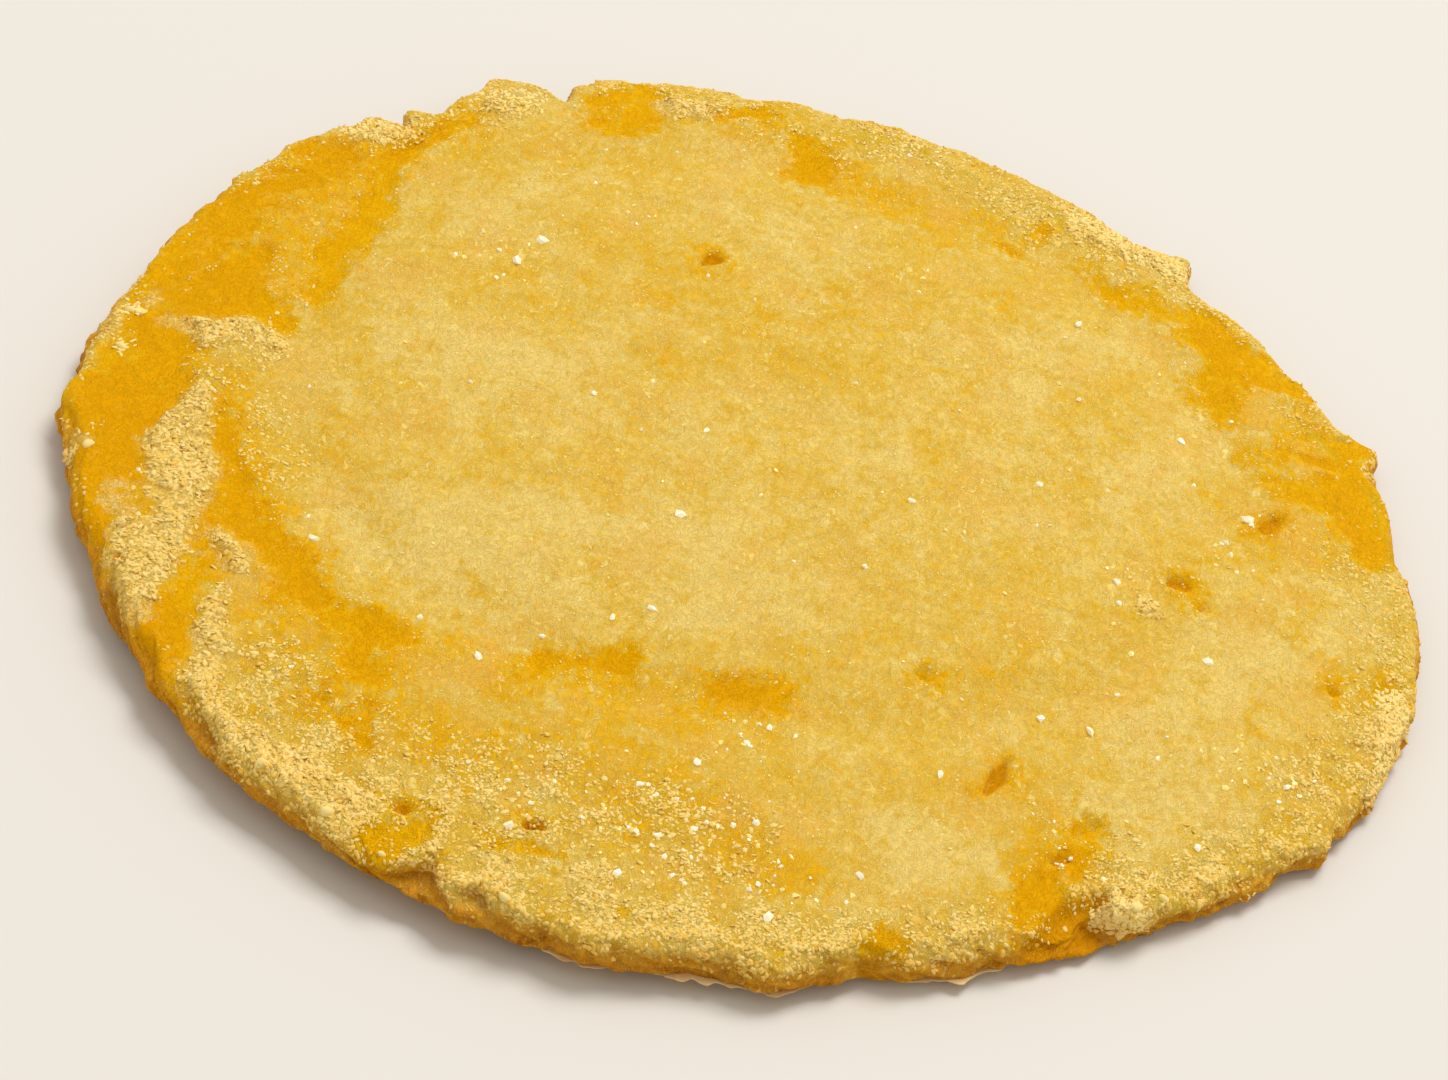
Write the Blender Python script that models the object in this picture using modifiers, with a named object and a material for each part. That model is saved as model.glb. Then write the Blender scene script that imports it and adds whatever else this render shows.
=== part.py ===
"""Lemon cookie: one thin, round, soft-baked cookie with a crumbly sugared skin.

The skin has flaked or soaked away in places, down to a smooth amber crumb, so the
top is a field of shallow recesses, small pits and raised crust. The edge is ragged,
is chipped at the front right, and curls up off the table at the front left.

Shape functions work in millimetres. x runs to the right, y away from the viewer and
z up, from the middle of the flat underside that the cookie rests on.
"""

import math
from typing import NamedTuple

import bmesh
import bpy
import numpy as np

MM = 0.001

# Driving dimensions
COOKIE_RADIUS = 37.35
CENTRE_THICKNESS = 4.2
EDGE_THICKNESS = 2.1
THIN_SIDE_DROP = 0.8
THIN_SIDE_ANGLE = 5.0
THIN_SIDE_SPREAD = 75.0

# Section: how the plate thins towards its edge and how the edge is rounded
THINNING_POWER = 2.6
SHOULDER_INSET = 0.8
FOOT_INSET = 0.4
WIDEST_AT = 0.30
CURL_STARTS = 0.70
EDGE_LIFT = 0.35
FRONT_LEFT_LIFT = 1.0
FRONT_LEFT_ANGLE = -122.0
FRONT_LEFT_SPREAD = 42.0
FRONT_LEFT_DROP = 0.6
FRONT_LEFT_DROP_SPREAD = 20.0
BELOW_TABLE = 0.12

# Outline: slow lobes, as (number round the edge, height, angle of a crest)
OUTLINE_LOBES = (
    (1, 0.60, 109.5),
    (2, 0.21, 48.0),
    (3, 0.61, -4.0),
    (4, 0.39, -11.0),
    (5, 0.17, -23.0),
)

# Sunken ring that parts the smooth middle from the crumbly border
MIDDLE_CENTRE = (0.0, 5.5)
MIDDLE_RADII = (26.5, 24.5)
RING_DEPTH = 0.30
RING_WIDTH = 2.2
BORDER_RISE = 0.20

# Skin: how deep the bare places lie and how lumpy the crust is
SKIN_THICKNESS = 0.20
SKIN_EDGE = 0.35
SKIN_WANDER = ((2.6, 0.75), (1.3, 0.40))
CRUMBLY_LUMPS = ((1.7, 0.16),)
CRUST_RISE = 0.22
LUMPS = ((7.0, 0.14), (2.6, 0.07), (1.3, 0.04))
EDGE_RAGS = ((3.2, 0.18), (1.3, 0.18))
SEED = 41

# Mesh density, and the triangle budget that the finished solid is thinned to
TURN_STEPS = 512
TOP_RINGS = 84
EDGE_RINGS = 15
UNDERSIDE_RINGS = 14
TRIANGLES = 10400

CRUMB_COLOUR = (0.760, 0.510, 0.090, 1.0)
CRUMB_ROUGHNESS = 0.72


class Patch(NamedTuple):
    """A place on the top that follows a path: (x, y, half width) at each point of the
    path, and the place's depth, height or strength."""

    path: tuple
    size: float = 1.0


class Nick(NamedTuple):
    """A bite out of the edge, or a tongue if its depth is below zero: the angle round the
    edge, half its width along the edge, its depth, and the share of the edge's height
    where it starts."""

    angle: float
    half_width: float
    depth: float
    starts: float = 0.0


# Bare places, where the skin is gone and the moist amber crumb shows
BARE_BACK_LEFT = (
    Patch(((-20.2, 29.9, 0.3), (-20.9, 28.0, 0.8), (-22.2, 25.8, 0.9), (-23.4, 24.0, 0.8))),
    Patch(((-23.4, 24.0, 0.8), (-24.3, 21.5, 1.0), (-24.4, 19.0, 0.7), (-24.8, 17.2, 1.0))),
    Patch(((-24.8, 17.2, 0.8), (-25.3, 14.2, 1.1), (-25.9, 12.0, 1.2), (-26.4, 9.2, 0.7))),
    Patch(((-23.6, 26.3, 0.5), (-22.0, 26.6, 0.6))),
    Patch(((-28.8, 22.0, 0.8), (-27.0, 21.9, 0.9), (-27.8, 20.4, 0.9))),
    Patch(((-29.2, 19.2, 0.6), (-28.6, 18.4, 0.7))),
    Patch(((-29.6, 18.4, 1.0), (-31.4, 16.2, 1.4), (-32.2, 13.6, 1.4), (-33.0, 11.0, 1.0))),
    Patch(((-33.0, 11.0, 1.0), (-33.9, 8.4, 0.8), (-34.4, 6.8, 0.8))),
    Patch(((-30.6, 10.2, 1.2), (-30.6, 8.0, 2.0), (-30.8, 6.0, 1.9))),
    Patch(((-29.0, 6.6, 1.6), (-27.6, 5.6, 1.0))),
    Patch(((-32.0, 6.4, 1.3), (-34.4, 5.4, 0.9), (-35.4, 3.6, 0.8))),
    Patch(((-33.4, 2.6, 2.0), (-33.6, 0.4, 2.1), (-34.2, -4.0, 2.4), (-34.4, -8.0, 2.3))),
    Patch(((-32.2, 17.6, 0.8), (-34.0, 13.0, 0.9), (-35.2, 8.6, 0.9), (-35.6, 5.0, 0.6))),
    Patch(((-35.8, 3.0, 0.7), (-36.4, -1.0, 0.9), (-36.8, -5.0, 0.7))),
)
BARE_FRONT_LEFT = (
    Patch(((-34.6, -9.6, 1.7), (-33.8, -12.0, 1.2), (-33.2, -15.4, 0.9), (-32.6, -17.8, 0.8))),
    Patch(((-28.4, -3.2, 0.4), (-28.2, -6.0, 0.6), (-27.8, -8.4, 0.8), (-26.8, -10.6, 1.1))),
    Patch(((-26.8, -10.6, 1.0), (-25.2, -12.4, 0.9), (-23.8, -14.4, 1.2), (-22.0, -16.2, 1.0))),
    Patch(((-22.0, -16.2, 0.7), (-19.6, -17.6, 1.0), (-17.4, -18.7, 1.2), (-16.0, -18.7, 0.7))),
    Patch(((-18.4, -19.4, 0.8), (-17.4, -22.0, 0.6))),
    Patch(((-28.0, -11.2, 0.6), (-28.0, -15.4, 0.7), (-27.5, -18.4, 0.9), (-28.2, -20.8, 1.3))),
    Patch(((-28.2, -20.8, 1.5), (-28.6, -23.4, 1.9), (-28.0, -25.4, 1.5), (-26.6, -28.0, 0.9))),
    Patch(((-19.6, -24.7, 0.5), (-17.2, -25.0, 0.8), (-16.2, -26.4, 0.6))),
)
BARE_FRONT = (
    Patch(((-13.2, -31.8, 0.7), (-13.5, -33.2, 1.2), (-14.2, -34.6, 0.8))),
    Patch(((-8.9, -18.2, 0.9), (-8.3, -19.0, 0.8))),
    Patch(((-6.2, -17.8, 0.6), (-4.9, -17.2, 1.0))),
    Patch(((0.2, -18.4, 0.7), (1.6, -17.3, 0.8), (3.8, -17.5, 0.5))),
    Patch(((-8.5, -32.2, 0.5),)),
    Patch(((-7.0, -32.1, 0.5),)),
    Patch(((-2.0, -34.4, 0.4),)),
    Patch(((20.8, -21.2, 0.6), (20.3, -22.4, 0.4), (19.8, -24.1, 0.6))),
    Patch(((18.7, -25.2, 0.6), (18.5, -26.6, 1.1), (18.5, -28.0, 0.8))),
    Patch(((11.2, -32.5, 0.7), (11.5, -33.6, 0.6))),
)
BARE_RIGHT = (
    Patch(((23.4, 25.2, 0.7), (24.6, 22.8, 1.5), (25.4, 19.8, 1.6), (25.4, 17.0, 0.6))),
    Patch(((25.6, 22.6, 1.4), (27.6, 21.4, 1.6), (29.6, 20.8, 0.8))),
    Patch(((22.8, 24.4, 0.5), (20.2, 25.2, 0.6), (17.8, 26.0, 0.9))),
    Patch(((31.6, 16.8, 0.9), (33.0, 15.6, 1.7), (34.0, 12.8, 2.0), (34.6, 9.4, 2.0))),
    Patch(((34.6, 9.4, 1.8), (34.8, 7.4, 1.3))),
    Patch(((32.4, 11.8, 1.3), (30.6, 11.0, 1.1), (29.2, 11.2, 0.5))),
    Patch(((31.2, 14.3, 0.6), (29.2, 13.8, 0.4), (28.0, 13.4, 0.5))),
    Patch(((28.6, 7.3, 0.5), (29.0, 7.7, 0.5))),
    Patch(((35.8, -4.2, 0.5),)),
)
BARE_BACK = (
    Patch(((-0.9, 32.6, 1.5), (-0.5, 30.4, 1.7))),
    Patch(((-14.4, 33.0, 0.4), (-12.6, 34.2, 0.9), (-11.2, 34.6, 1.0), (-10.8, 32.4, 0.9))),
    Patch(((-10.8, 32.2, 1.0), (-11.8, 31.2, 0.8), (-13.2, 30.8, 0.5))),
    Patch(((-6.2, 34.0, 0.6), (-4.6, 35.0, 0.8), (-3.1, 35.8, 0.5))),
    Patch(((13.9, 30.1, 0.5),)),
    Patch(((12.3, 27.0, 0.6),)),
)
BARE = BARE_BACK_LEFT + BARE_FRONT_LEFT + BARE_FRONT + BARE_RIGHT + BARE_BACK

# Thick crust, which stands above the skin round it
CRUST = (
    Patch(((-30.8, -2.6, 0.8), (-30.6, -5.6, 1.4), (-30.4, -9.0, 1.8), (-30.0, -12.6, 1.6))),
    Patch(((-30.0, -12.6, 1.6), (-30.6, -16.0, 1.8), (-30.6, -18.8, 1.4), (-29.6, -21.4, 0.6))),
    Patch(((-26.9, -13.8, 0.5), (-26.6, -15.8, 0.7))),
    Patch(((-33.3, -11.2, 0.6),)),
    Patch(((-33.0, -12.8, 0.6),)),
    Patch(((-36.2, -8.2, 0.4), (-35.4, -7.8, 0.3))),
    Patch(((-32.8, 3.4, 0.8), (-30.4, 3.4, 1.0), (-28.2, 3.4, 0.8))),
    Patch(((-34.2, 5.6, 0.7),)),
    Patch(((-25.6, -18.2, 0.4), (-25.8, -22.4, 0.7), (-25.9, -25.6, 0.8))),
    Patch(((-23.8, -28.6, 1.2), (-20.6, -30.0, 1.6), (-17.6, -31.6, 1.4))),
    Patch(((-25.7, 24.2, 1.1), (-25.0, 24.9, 0.8))),
    Patch(((-19.6, 30.4, 0.8), (-17.0, 30.9, 0.5))),
    Patch(((-9.4, 34.0, 1.1), (-7.6, 34.1, 1.0))),
    Patch(((16.6, 31.0, 0.7), (19.0, 30.0, 0.9), (21.4, 29.4, 0.9))),
    Patch(((22.4, -3.0, 0.6), (23.4, -3.4, 0.5))),
    Patch(((36.4, -5.4, 0.6), (36.6, -9.0, 0.8), (35.8, -12.6, 0.6))),
    Patch(((22.4, -25.0, 0.6), (24.2, -26.6, 1.3), (26.4, -26.0, 1.2), (28.8, -23.8, 1.0))),
    Patch(((28.8, -23.8, 0.9), (30.4, -21.4, 0.5))),
)

# Crumbly border, where the skin breaks up into coarse crumb
CRUMBLY = (
    Patch(((-26.4, -26.6, 1.4), (-21.0, -29.0, 3.0), (-14.0, -32.4, 3.4)), 0.8),
    Patch(((-14.0, -32.4, 3.4), (-5.0, -34.8, 3.0), (5.0, -35.4, 2.6)), 0.7),
    Patch(((5.0, -35.4, 2.2), (12.0, -32.8, 2.0), (18.0, -30.2, 1.6)), 0.6),
    Patch(((-22.0, -24.0, 3.0), (-18.0, -27.6, 2.6), (-8.0, -28.0, 3.0), (2.0, -29.4, 3.0)), 0.5),
    Patch(((22.6, -23.6, 1.4), (25.4, -25.4, 2.2), (29.2, -21.0, 2.4)), 0.7),
    Patch(((29.2, -21.0, 2.4), (33.4, -14.0, 2.2), (35.8, -7.0, 1.6)), 0.7),
    Patch(((35.8, -7.0, 1.4), (35.8, 2.0, 1.2), (33.4, 5.0, 1.4)), 0.5),
    Patch(((21.0, 28.0, 1.6), (15.0, 31.0, 2.0), (6.0, 34.6, 1.6), (-9.0, 34.2, 1.2)), 0.5),
    Patch(((30.4, 17.6, 1.0), (29.0, 19.8, 0.5)), 0.5),
    Patch(((-25.4, 24.6, 1.4), (-19.0, 30.6, 1.0)), 0.6),
    Patch(((-30.4, -2.0, 2.0), (-29.0, 2.6, 1.6)), 0.5),
    Patch(((-26.0, -2.0, 1.2), (-25.6, -8.0, 1.2)), 0.3),
)

# Small pits and torn hollows, with their depths
PITS = (
    Patch(((-5.4, 18.2, 0.2), (-4.9, 18.9, 0.5)), 0.4),
    Patch(((15.3, -20.6, 0.15), (15.7, -19.4, 0.45), (16.1, -18.0, 0.1)), 0.6),
    Patch(((23.6, -0.3, 0.4), (24.4, -0.1, 0.4)), 0.3),
    Patch(((28.5, 7.1, 0.4), (29.0, 7.9, 0.4)), 0.3),
    Patch(((19.4, -24.1, 0.3), (20.0, -23.7, 0.3)), 0.4),
    Patch(((20.2, -22.0, 0.3), (21.1, -21.0, 0.3)), 0.15),
    Patch(((-13.8, -31.2, 0.35),), 0.5),
    Patch(((-7.4, -30.6, 0.3), (-7.0, -30.4, 0.35)), 0.5),
    Patch(((11.0, -13.1, 0.35),), 0.2),
    Patch(((33.2, -5.5, 0.35),), 0.25),
    Patch(((25.4, -1.5, 0.2),), 0.3),
    Patch(((-31.7, -17.2, 0.3),), 0.4),
)
CHIP = Patch(((21.9, -26.0, 0.4), (21.1, -28.0, 1.4), (20.4, -30.8, 1.9)), 0.7)
FLAP_STEP = Patch(((13.6, -34.4, 0.8), (16.4, -33.0, 1.0), (19.0, -31.8, 0.8)), 0.5)

NICKS = (
    Nick(179.0, 1.6, -0.2),
    Nick(168.5, 2.6, 0.45),
    Nick(150.0, 1.6, -0.4),
    Nick(142.5, 2.4, -0.6),
    Nick(132.6, 0.7, 2.0),
    Nick(128.5, 1.3, 1.4),
    Nick(121.0, 1.3, -1.4),
    Nick(115.8, 0.9, 1.9),
    Nick(97.5, 1.3, 0.6),
    Nick(89.0, 1.3, 0.5),
    Nick(59.5, 1.3, 0.4),
    Nick(54.6, 0.9, -1.7),
    Nick(50.0, 2.2, 0.8),
    Nick(38.0, 2.2, 0.2),
    Nick(26.8, 1.2, -1.5),
    Nick(22.0, 2.2, -0.5),
    Nick(13.0, 1.6, 0.5),
    Nick(-20.0, 2.4, -0.25),
    Nick(-27.5, 1.4, -0.75),
    Nick(-51.5, 1.2, 1.4, 0.20),
    Nick(-47.0, 1.0, -0.5, 0.4),
    Nick(-56.5, 1.5, 0.4, 0.45),
    Nick(-72.0, 1.2, 0.8),
    Nick(-80.5, 1.4, -0.6),
    Nick(-86.5, 1.4, 0.5),
    Nick(-95.0, 1.4, -0.6),
    Nick(-105.2, 0.8, -0.7),
    Nick(-108.8, 1.0, 1.6, 0.40),
    Nick(-104.5, 0.7, 1.1, 0.60),
    Nick(-112.0, 1.0, -0.5, 0.5),
    Nick(-129.0, 3.4, -0.5),
    Nick(-131.0, 1.8, 0.7, 0.45),
    Nick(-138.0, 1.6, -0.35),
    Nick(-140.0, 1.2, 0.4, 0.50),
    Nick(-154.0, 2.0, 0.4),
    Nick(-173.5, 2.4, -0.75),
)


def smooth_step(value, low, high):
    """0 below low, 1 above high, and the cubic 3t^2 - 2t^3 between them."""
    share = np.clip((value - low) / (high - low), 0.0, 1.0)
    return share * share * (3.0 - 2.0 * share)


def lattice_noise(x, y, size, seed):
    """Soft noise from -1 to 1: random heights on a square lattice of this size, blended
    across each cell with the smooth step."""
    count = 128
    heights = np.random.default_rng(seed).uniform(-1.0, 1.0, (count, count))
    column, row = np.floor(x / size).astype(int), np.floor(y / size).astype(int)
    across = smooth_step(x / size - column, 0.0, 1.0)
    along = smooth_step(y / size - row, 0.0, 1.0)
    near = heights[row % count, column % count] * (1.0 - across)
    near = near + heights[row % count, (column + 1) % count] * across
    far = heights[(row + 1) % count, column % count] * (1.0 - across)
    far = far + heights[(row + 1) % count, (column + 1) % count] * across
    return near * (1.0 - along) + far * along


def layered_noise(x, y, layers, seed):
    """A sum of lattice noises, one for each (size, height)."""
    return sum(
        height * lattice_noise(x, y, size, seed + number)
        for number, (size, height) in enumerate(layers)
    )


def distance_in(x, y, patch):
    """Roughly the distance in from a patch's outline, above zero inside: its half width
    where the path passes nearest, less the distance to the path there."""
    best = np.full(x.shape, -np.inf)
    ends = patch.path[1:] or patch.path
    for (x0, y0, half0), (x1, y1, half1) in zip(patch.path, ends):
        run, rise = x1 - x0, y1 - y0
        square = max(run**2 + rise**2, 1e-9)
        share = np.clip(((x - x0) * run + (y - y0) * rise) / square, 0.0, 1.0)
        away = np.hypot(x - x0 - share * run, y - y0 - share * rise)
        best = np.maximum(best, half0 + (half1 - half0) * share - away)
    return best


def deepest_in(x, y, patches):
    """The distance in from the outline of all these patches taken together."""
    return np.max([distance_in(x, y, patch) for patch in patches], axis=0)


def strongest(x, y, patches, softness):
    """The greatest of the patches' sizes at each point, faded over this many millimetres
    to each side of their outlines."""
    return np.max(
        [
            patch.size * smooth_step(distance_in(x, y, patch), -softness, softness)
            for patch in patches
        ],
        axis=0,
    )


def angle_apart(angle, centre):
    """The signed angle from a centre, in degrees, from -180 to 180."""
    return (angle - centre + 180.0) % 360.0 - 180.0


def outline_radius(angle):
    """The cookie's radius at an angle in degrees: a circle with slow lobes."""
    lobes = sum(
        height * np.cos(np.radians(count * (angle - crest)))
        for count, height, crest in OUTLINE_LOBES
    )
    return COOKIE_RADIUS + lobes


def edge_inset(share):
    """How far in the edge lies at a share of its height: a small foot curve below the
    widest place and a broad shoulder above it, both quarter ellipses."""
    below = np.clip((WIDEST_AT - share) / WIDEST_AT, 0.0, 1.0)
    above = np.clip((share - WIDEST_AT) / (1.0 - WIDEST_AT), 0.0, 1.0)
    foot = FOOT_INSET * (1.0 - np.sqrt(1.0 - below**2))
    shoulder = SHOULDER_INSET * (1.0 - np.sqrt(1.0 - above**2))
    return foot + shoulder


def nick_depth(angle, share):
    """How far the nicks cut in, or the tongues reach out, at an angle and height."""
    total = np.zeros_like(angle)
    for nick in NICKS:
        away = np.radians(angle_apart(angle, nick.angle)) * COOKIE_RADIUS
        bite = np.exp(-((away / nick.half_width) ** 2))
        total += nick.depth * bite * smooth_step(share, nick.starts - 0.1, nick.starts + 0.1)
    return total


def underside_height(reach, angle):
    """The underside: flat, then curling up to the edge, most at the front left."""
    away = angle_apart(angle, FRONT_LEFT_ANGLE) / FRONT_LEFT_SPREAD
    lift = EDGE_LIFT + FRONT_LEFT_LIFT * np.exp(-(away**2))
    curl = np.clip((reach - CURL_STARTS) / (1.0 - CURL_STARTS), 0.0, None)
    return lift * curl**1.7 - BELOW_TABLE * (1.0 - smooth_step(curl, 0.0, 0.5))


def top_relief(x, y):
    """Everything that stands above or below the plain dome of the top. The patches are
    read at points that wander, so that their outlines do too."""
    middle = np.hypot(
        (x - MIDDLE_CENTRE[0]) / MIDDLE_RADII[0], (y - MIDDLE_CENTRE[1]) / MIDDLE_RADII[1]
    )
    past_ring = (middle - 1.0) * min(MIDDLE_RADII)
    ring = -RING_DEPTH * np.exp(-((past_ring / RING_WIDTH) ** 2))
    border = BORDER_RISE * smooth_step(past_ring, 0.0, 2.0 * RING_WIDTH)
    wandering_x = x + layered_noise(x, y, SKIN_WANDER, SEED + 10)
    wandering_y = y + layered_noise(x, y, SKIN_WANDER, SEED + 12)
    bare = smooth_step(deepest_in(wandering_x, wandering_y, BARE), -SKIN_EDGE, SKIN_EDGE)
    crust = smooth_step(deepest_in(wandering_x, wandering_y, CRUST), -SKIN_EDGE, SKIN_EDGE)
    crumbly = strongest(wandering_x, wandering_y, CRUMBLY, 1.4)
    dent = strongest(x, y, (*PITS, CHIP, FLAP_STEP), 0.30)
    lumps = layered_noise(x, y, LUMPS, SEED)
    lumps += np.maximum(crumbly, crust) * layered_noise(x, y, CRUMBLY_LUMPS, SEED + 30)
    relief = ring + border + (1.0 - 0.7 * bare) * lumps
    return relief + CRUST_RISE * crust * (1.0 - bare) - SKIN_THICKNESS * bare - dent


def edge_thickness(angle):
    """The thickness just inside the shoulder: least at the thin side and front left."""
    away = angle_apart(angle, THIN_SIDE_ANGLE) / THIN_SIDE_SPREAD
    thin_side = THIN_SIDE_DROP * np.exp(-(away**2))
    away = angle_apart(angle, FRONT_LEFT_ANGLE) / FRONT_LEFT_DROP_SPREAD
    return EDGE_THICKNESS - thin_side - FRONT_LEFT_DROP * np.exp(-(away**2))


def section_rows():
    """Rows of (share of the radius, share of the height) from the middle of the underside,
    out to the edge, round it and back to the middle of the top."""
    under = [(reach, 0.0) for reach in np.linspace(0.0, 1.0, UNDERSIDE_RINGS + 1)]
    turn = np.linspace(0.0, math.pi, EDGE_RINGS + 2)[1:-1]
    edge = [(1.0, share) for share in 0.5 - 0.5 * np.cos(turn)]
    top = [(reach, 1.0) for reach in np.linspace(1.0, 0.0, TOP_RINGS + 1)]
    return under + edge + top


def turned_plate(name):
    """A disc of the section's rows, turned about z. A point's radius is its share of the
    radius, and its height is its share of the height, for shape_plate to work on."""
    rows = section_rows()
    mesh = bpy.data.meshes.new(name)
    mesh.from_pydata(
        [(reach, 0.0, share) for reach, share in rows],
        [(row, row + 1) for row in range(len(rows) - 1)],
        [],
    )
    profile = bpy.data.objects.new(name, mesh)
    bpy.context.scene.collection.objects.link(profile)
    screw = profile.modifiers.new("turn", "SCREW")
    screw.steps = screw.render_steps = TURN_STEPS
    screw.use_merge_vertices = True
    screw.merge_threshold = 0.0001
    graph = bpy.context.evaluated_depsgraph_get()
    turned = bpy.data.meshes.new_from_object(profile.evaluated_get(graph))
    bpy.data.objects.remove(profile)
    return turned


def shape_plate(mesh):
    """Moves the turned plate's points to the cookie's form, in metres."""
    points = np.empty(len(mesh.vertices) * 3)
    mesh.vertices.foreach_get("co", points)
    points = points.reshape(-1, 3)
    reach, share = np.hypot(points[:, 0], points[:, 1]), points[:, 2]
    turn = np.arctan2(points[:, 1], points[:, 0])
    angle = np.degrees(turn)
    edge_x, edge_y = COOKIE_RADIUS * np.cos(turn), COOKIE_RADIUS * np.sin(turn)
    rags = layered_noise(edge_x + 5.0 * share, edge_y - 4.0 * share, EDGE_RAGS, SEED + 20)
    radius = outline_radius(angle) - edge_inset(share)
    radius += (rags - nick_depth(angle, share)) * smooth_step(reach, 0.9, 1.0)
    x, y = reach * radius * np.cos(turn), reach * radius * np.sin(turn)
    whole = reach * radius / outline_radius(angle)
    thin = edge_thickness(angle)
    thickness = thin + (CENTRE_THICKNESS - thin) * (1.0 - whole**THINNING_POWER)
    low = underside_height(whole, angle)
    z = low + share * thickness + share**2 * top_relief(x, y)
    mesh.vertices.foreach_set("co", (np.column_stack([x, y, z]) * MM).ravel())
    mesh.update()


def thin_out(mesh):
    """The same form in about TRIANGLES triangles, by the Decimate modifier."""
    rough = bpy.data.objects.new("rough", mesh)
    bpy.context.scene.collection.objects.link(rough)
    decimate = rough.modifiers.new("thin out", "DECIMATE")
    decimate.ratio = TRIANGLES / sum(len(face.vertices) - 2 for face in mesh.polygons)
    graph = bpy.context.evaluated_depsgraph_get()
    thinned = bpy.data.meshes.new_from_object(rough.evaluated_get(graph))
    bpy.data.objects.remove(rough)
    return thinned


def cut_resting_face(mesh):
    """Slices the underside off at the table, which leaves one flat face to rest on."""
    solid = bmesh.new()
    solid.from_mesh(mesh)
    everything = solid.verts[:] + solid.edges[:] + solid.faces[:]
    bmesh.ops.bisect_plane(
        solid, geom=everything, plane_co=(0, 0, 0), plane_no=(0, 0, 1), clear_inner=True
    )
    rim = [edge for edge in solid.edges if edge.is_boundary]
    bmesh.ops.contextual_create(solid, geom=rim)
    bmesh.ops.remove_doubles(solid, verts=solid.verts, dist=0.02 * MM)
    bmesh.ops.recalc_face_normals(solid, faces=solid.faces)
    solid.to_mesh(mesh)
    solid.free()


def crumb_material():
    """Pale golden crumb, matt."""
    material = bpy.data.materials.new("lemon_crumb")
    material.use_nodes = True
    shader = material.node_tree.nodes["Principled BSDF"]
    shader.inputs["Base Color"].default_value = CRUMB_COLOUR
    shader.inputs["Roughness"].default_value = CRUMB_ROUGHNESS
    shader.inputs["Metallic"].default_value = 0.0
    return material


def build_cookie():
    """The cookie, one solid, in a collection named for it."""
    collection = bpy.data.collections.new("lemon_cookie")
    bpy.context.scene.collection.children.link(collection)
    plate = turned_plate("lemon_cookie")
    shape_plate(plate)
    mesh = thin_out(plate)
    bpy.data.meshes.remove(plate)
    cut_resting_face(mesh)
    mesh.shade_smooth()
    mesh.set_sharp_from_angle(angle=math.radians(50.0))
    mesh.materials.clear()
    mesh.materials.append(crumb_material())
    cookie = bpy.data.objects.new("lemon_cookie", mesh)
    collection.objects.link(cookie)


def main():
    for old in list(bpy.data.objects):
        bpy.data.objects.remove(old)
    build_cookie()


main()
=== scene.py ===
"""Lemon cookie: one thin, round, soft-baked cookie with a crumbly sugared skin, missing
in patches that show the moist amber crumb below.

Shapes are worked out in millimetres: x runs to the right, y away from the viewer and z
up, from the middle of the flat underside. The body's form is the solid's own form with
finer crumb on it. Grains of crust, loose crumbs, sugar and the thin skin of the underside
are pieces of their own, laid on the body's surface.
"""

import itertools
import math
from typing import NamedTuple

import bpy
import numpy as np
from mathutils import Matrix


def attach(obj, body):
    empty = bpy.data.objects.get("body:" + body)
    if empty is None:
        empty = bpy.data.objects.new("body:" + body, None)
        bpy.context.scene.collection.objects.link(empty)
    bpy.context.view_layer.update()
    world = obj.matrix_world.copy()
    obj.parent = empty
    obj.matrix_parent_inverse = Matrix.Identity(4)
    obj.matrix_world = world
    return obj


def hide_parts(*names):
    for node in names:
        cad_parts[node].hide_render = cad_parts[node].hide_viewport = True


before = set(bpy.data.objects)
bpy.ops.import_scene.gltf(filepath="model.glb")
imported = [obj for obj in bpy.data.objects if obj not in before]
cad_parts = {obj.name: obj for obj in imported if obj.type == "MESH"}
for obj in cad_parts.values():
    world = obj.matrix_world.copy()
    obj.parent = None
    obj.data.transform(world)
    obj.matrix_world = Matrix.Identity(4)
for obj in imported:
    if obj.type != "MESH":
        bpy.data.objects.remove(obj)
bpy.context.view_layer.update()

MM = 0.001

# Driving dimensions, as in the solid
COOKIE_RADIUS = 37.35
CENTRE_THICKNESS = 4.2
EDGE_THICKNESS = 2.1
THIN_SIDE_DROP = 0.8
THIN_SIDE_ANGLE = 5.0
THIN_SIDE_SPREAD = 75.0
THINNING_POWER = 2.6
SHOULDER_INSET = 0.8
FOOT_INSET = 0.4
WIDEST_AT = 0.30
CURL_STARTS = 0.70
CURL_POWER = 1.7
EDGE_LIFT = 0.35
FRONT_LEFT_LIFT = 1.0
FRONT_LEFT_ANGLE = -122.0
FRONT_LEFT_SPREAD = 42.0
FRONT_LEFT_DROP = 0.6
FRONT_LEFT_DROP_SPREAD = 20.0

# Outline: slow lobes, as (number round the edge, height, angle of a crest)
OUTLINE_LOBES = (
    (1, 0.60, 109.5),
    (2, 0.21, 48.0),
    (3, 0.61, -4.0),
    (4, 0.39, -11.0),
    (5, 0.17, -23.0),
)

# Sunken ring that parts the smooth middle from the crumbly border
MIDDLE_CENTRE = (0.0, 5.5)
MIDDLE_RADII = (26.5, 24.5)
RING_DEPTH = 0.30
RING_WIDTH = 2.2
BORDER_RISE = 0.20

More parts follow.
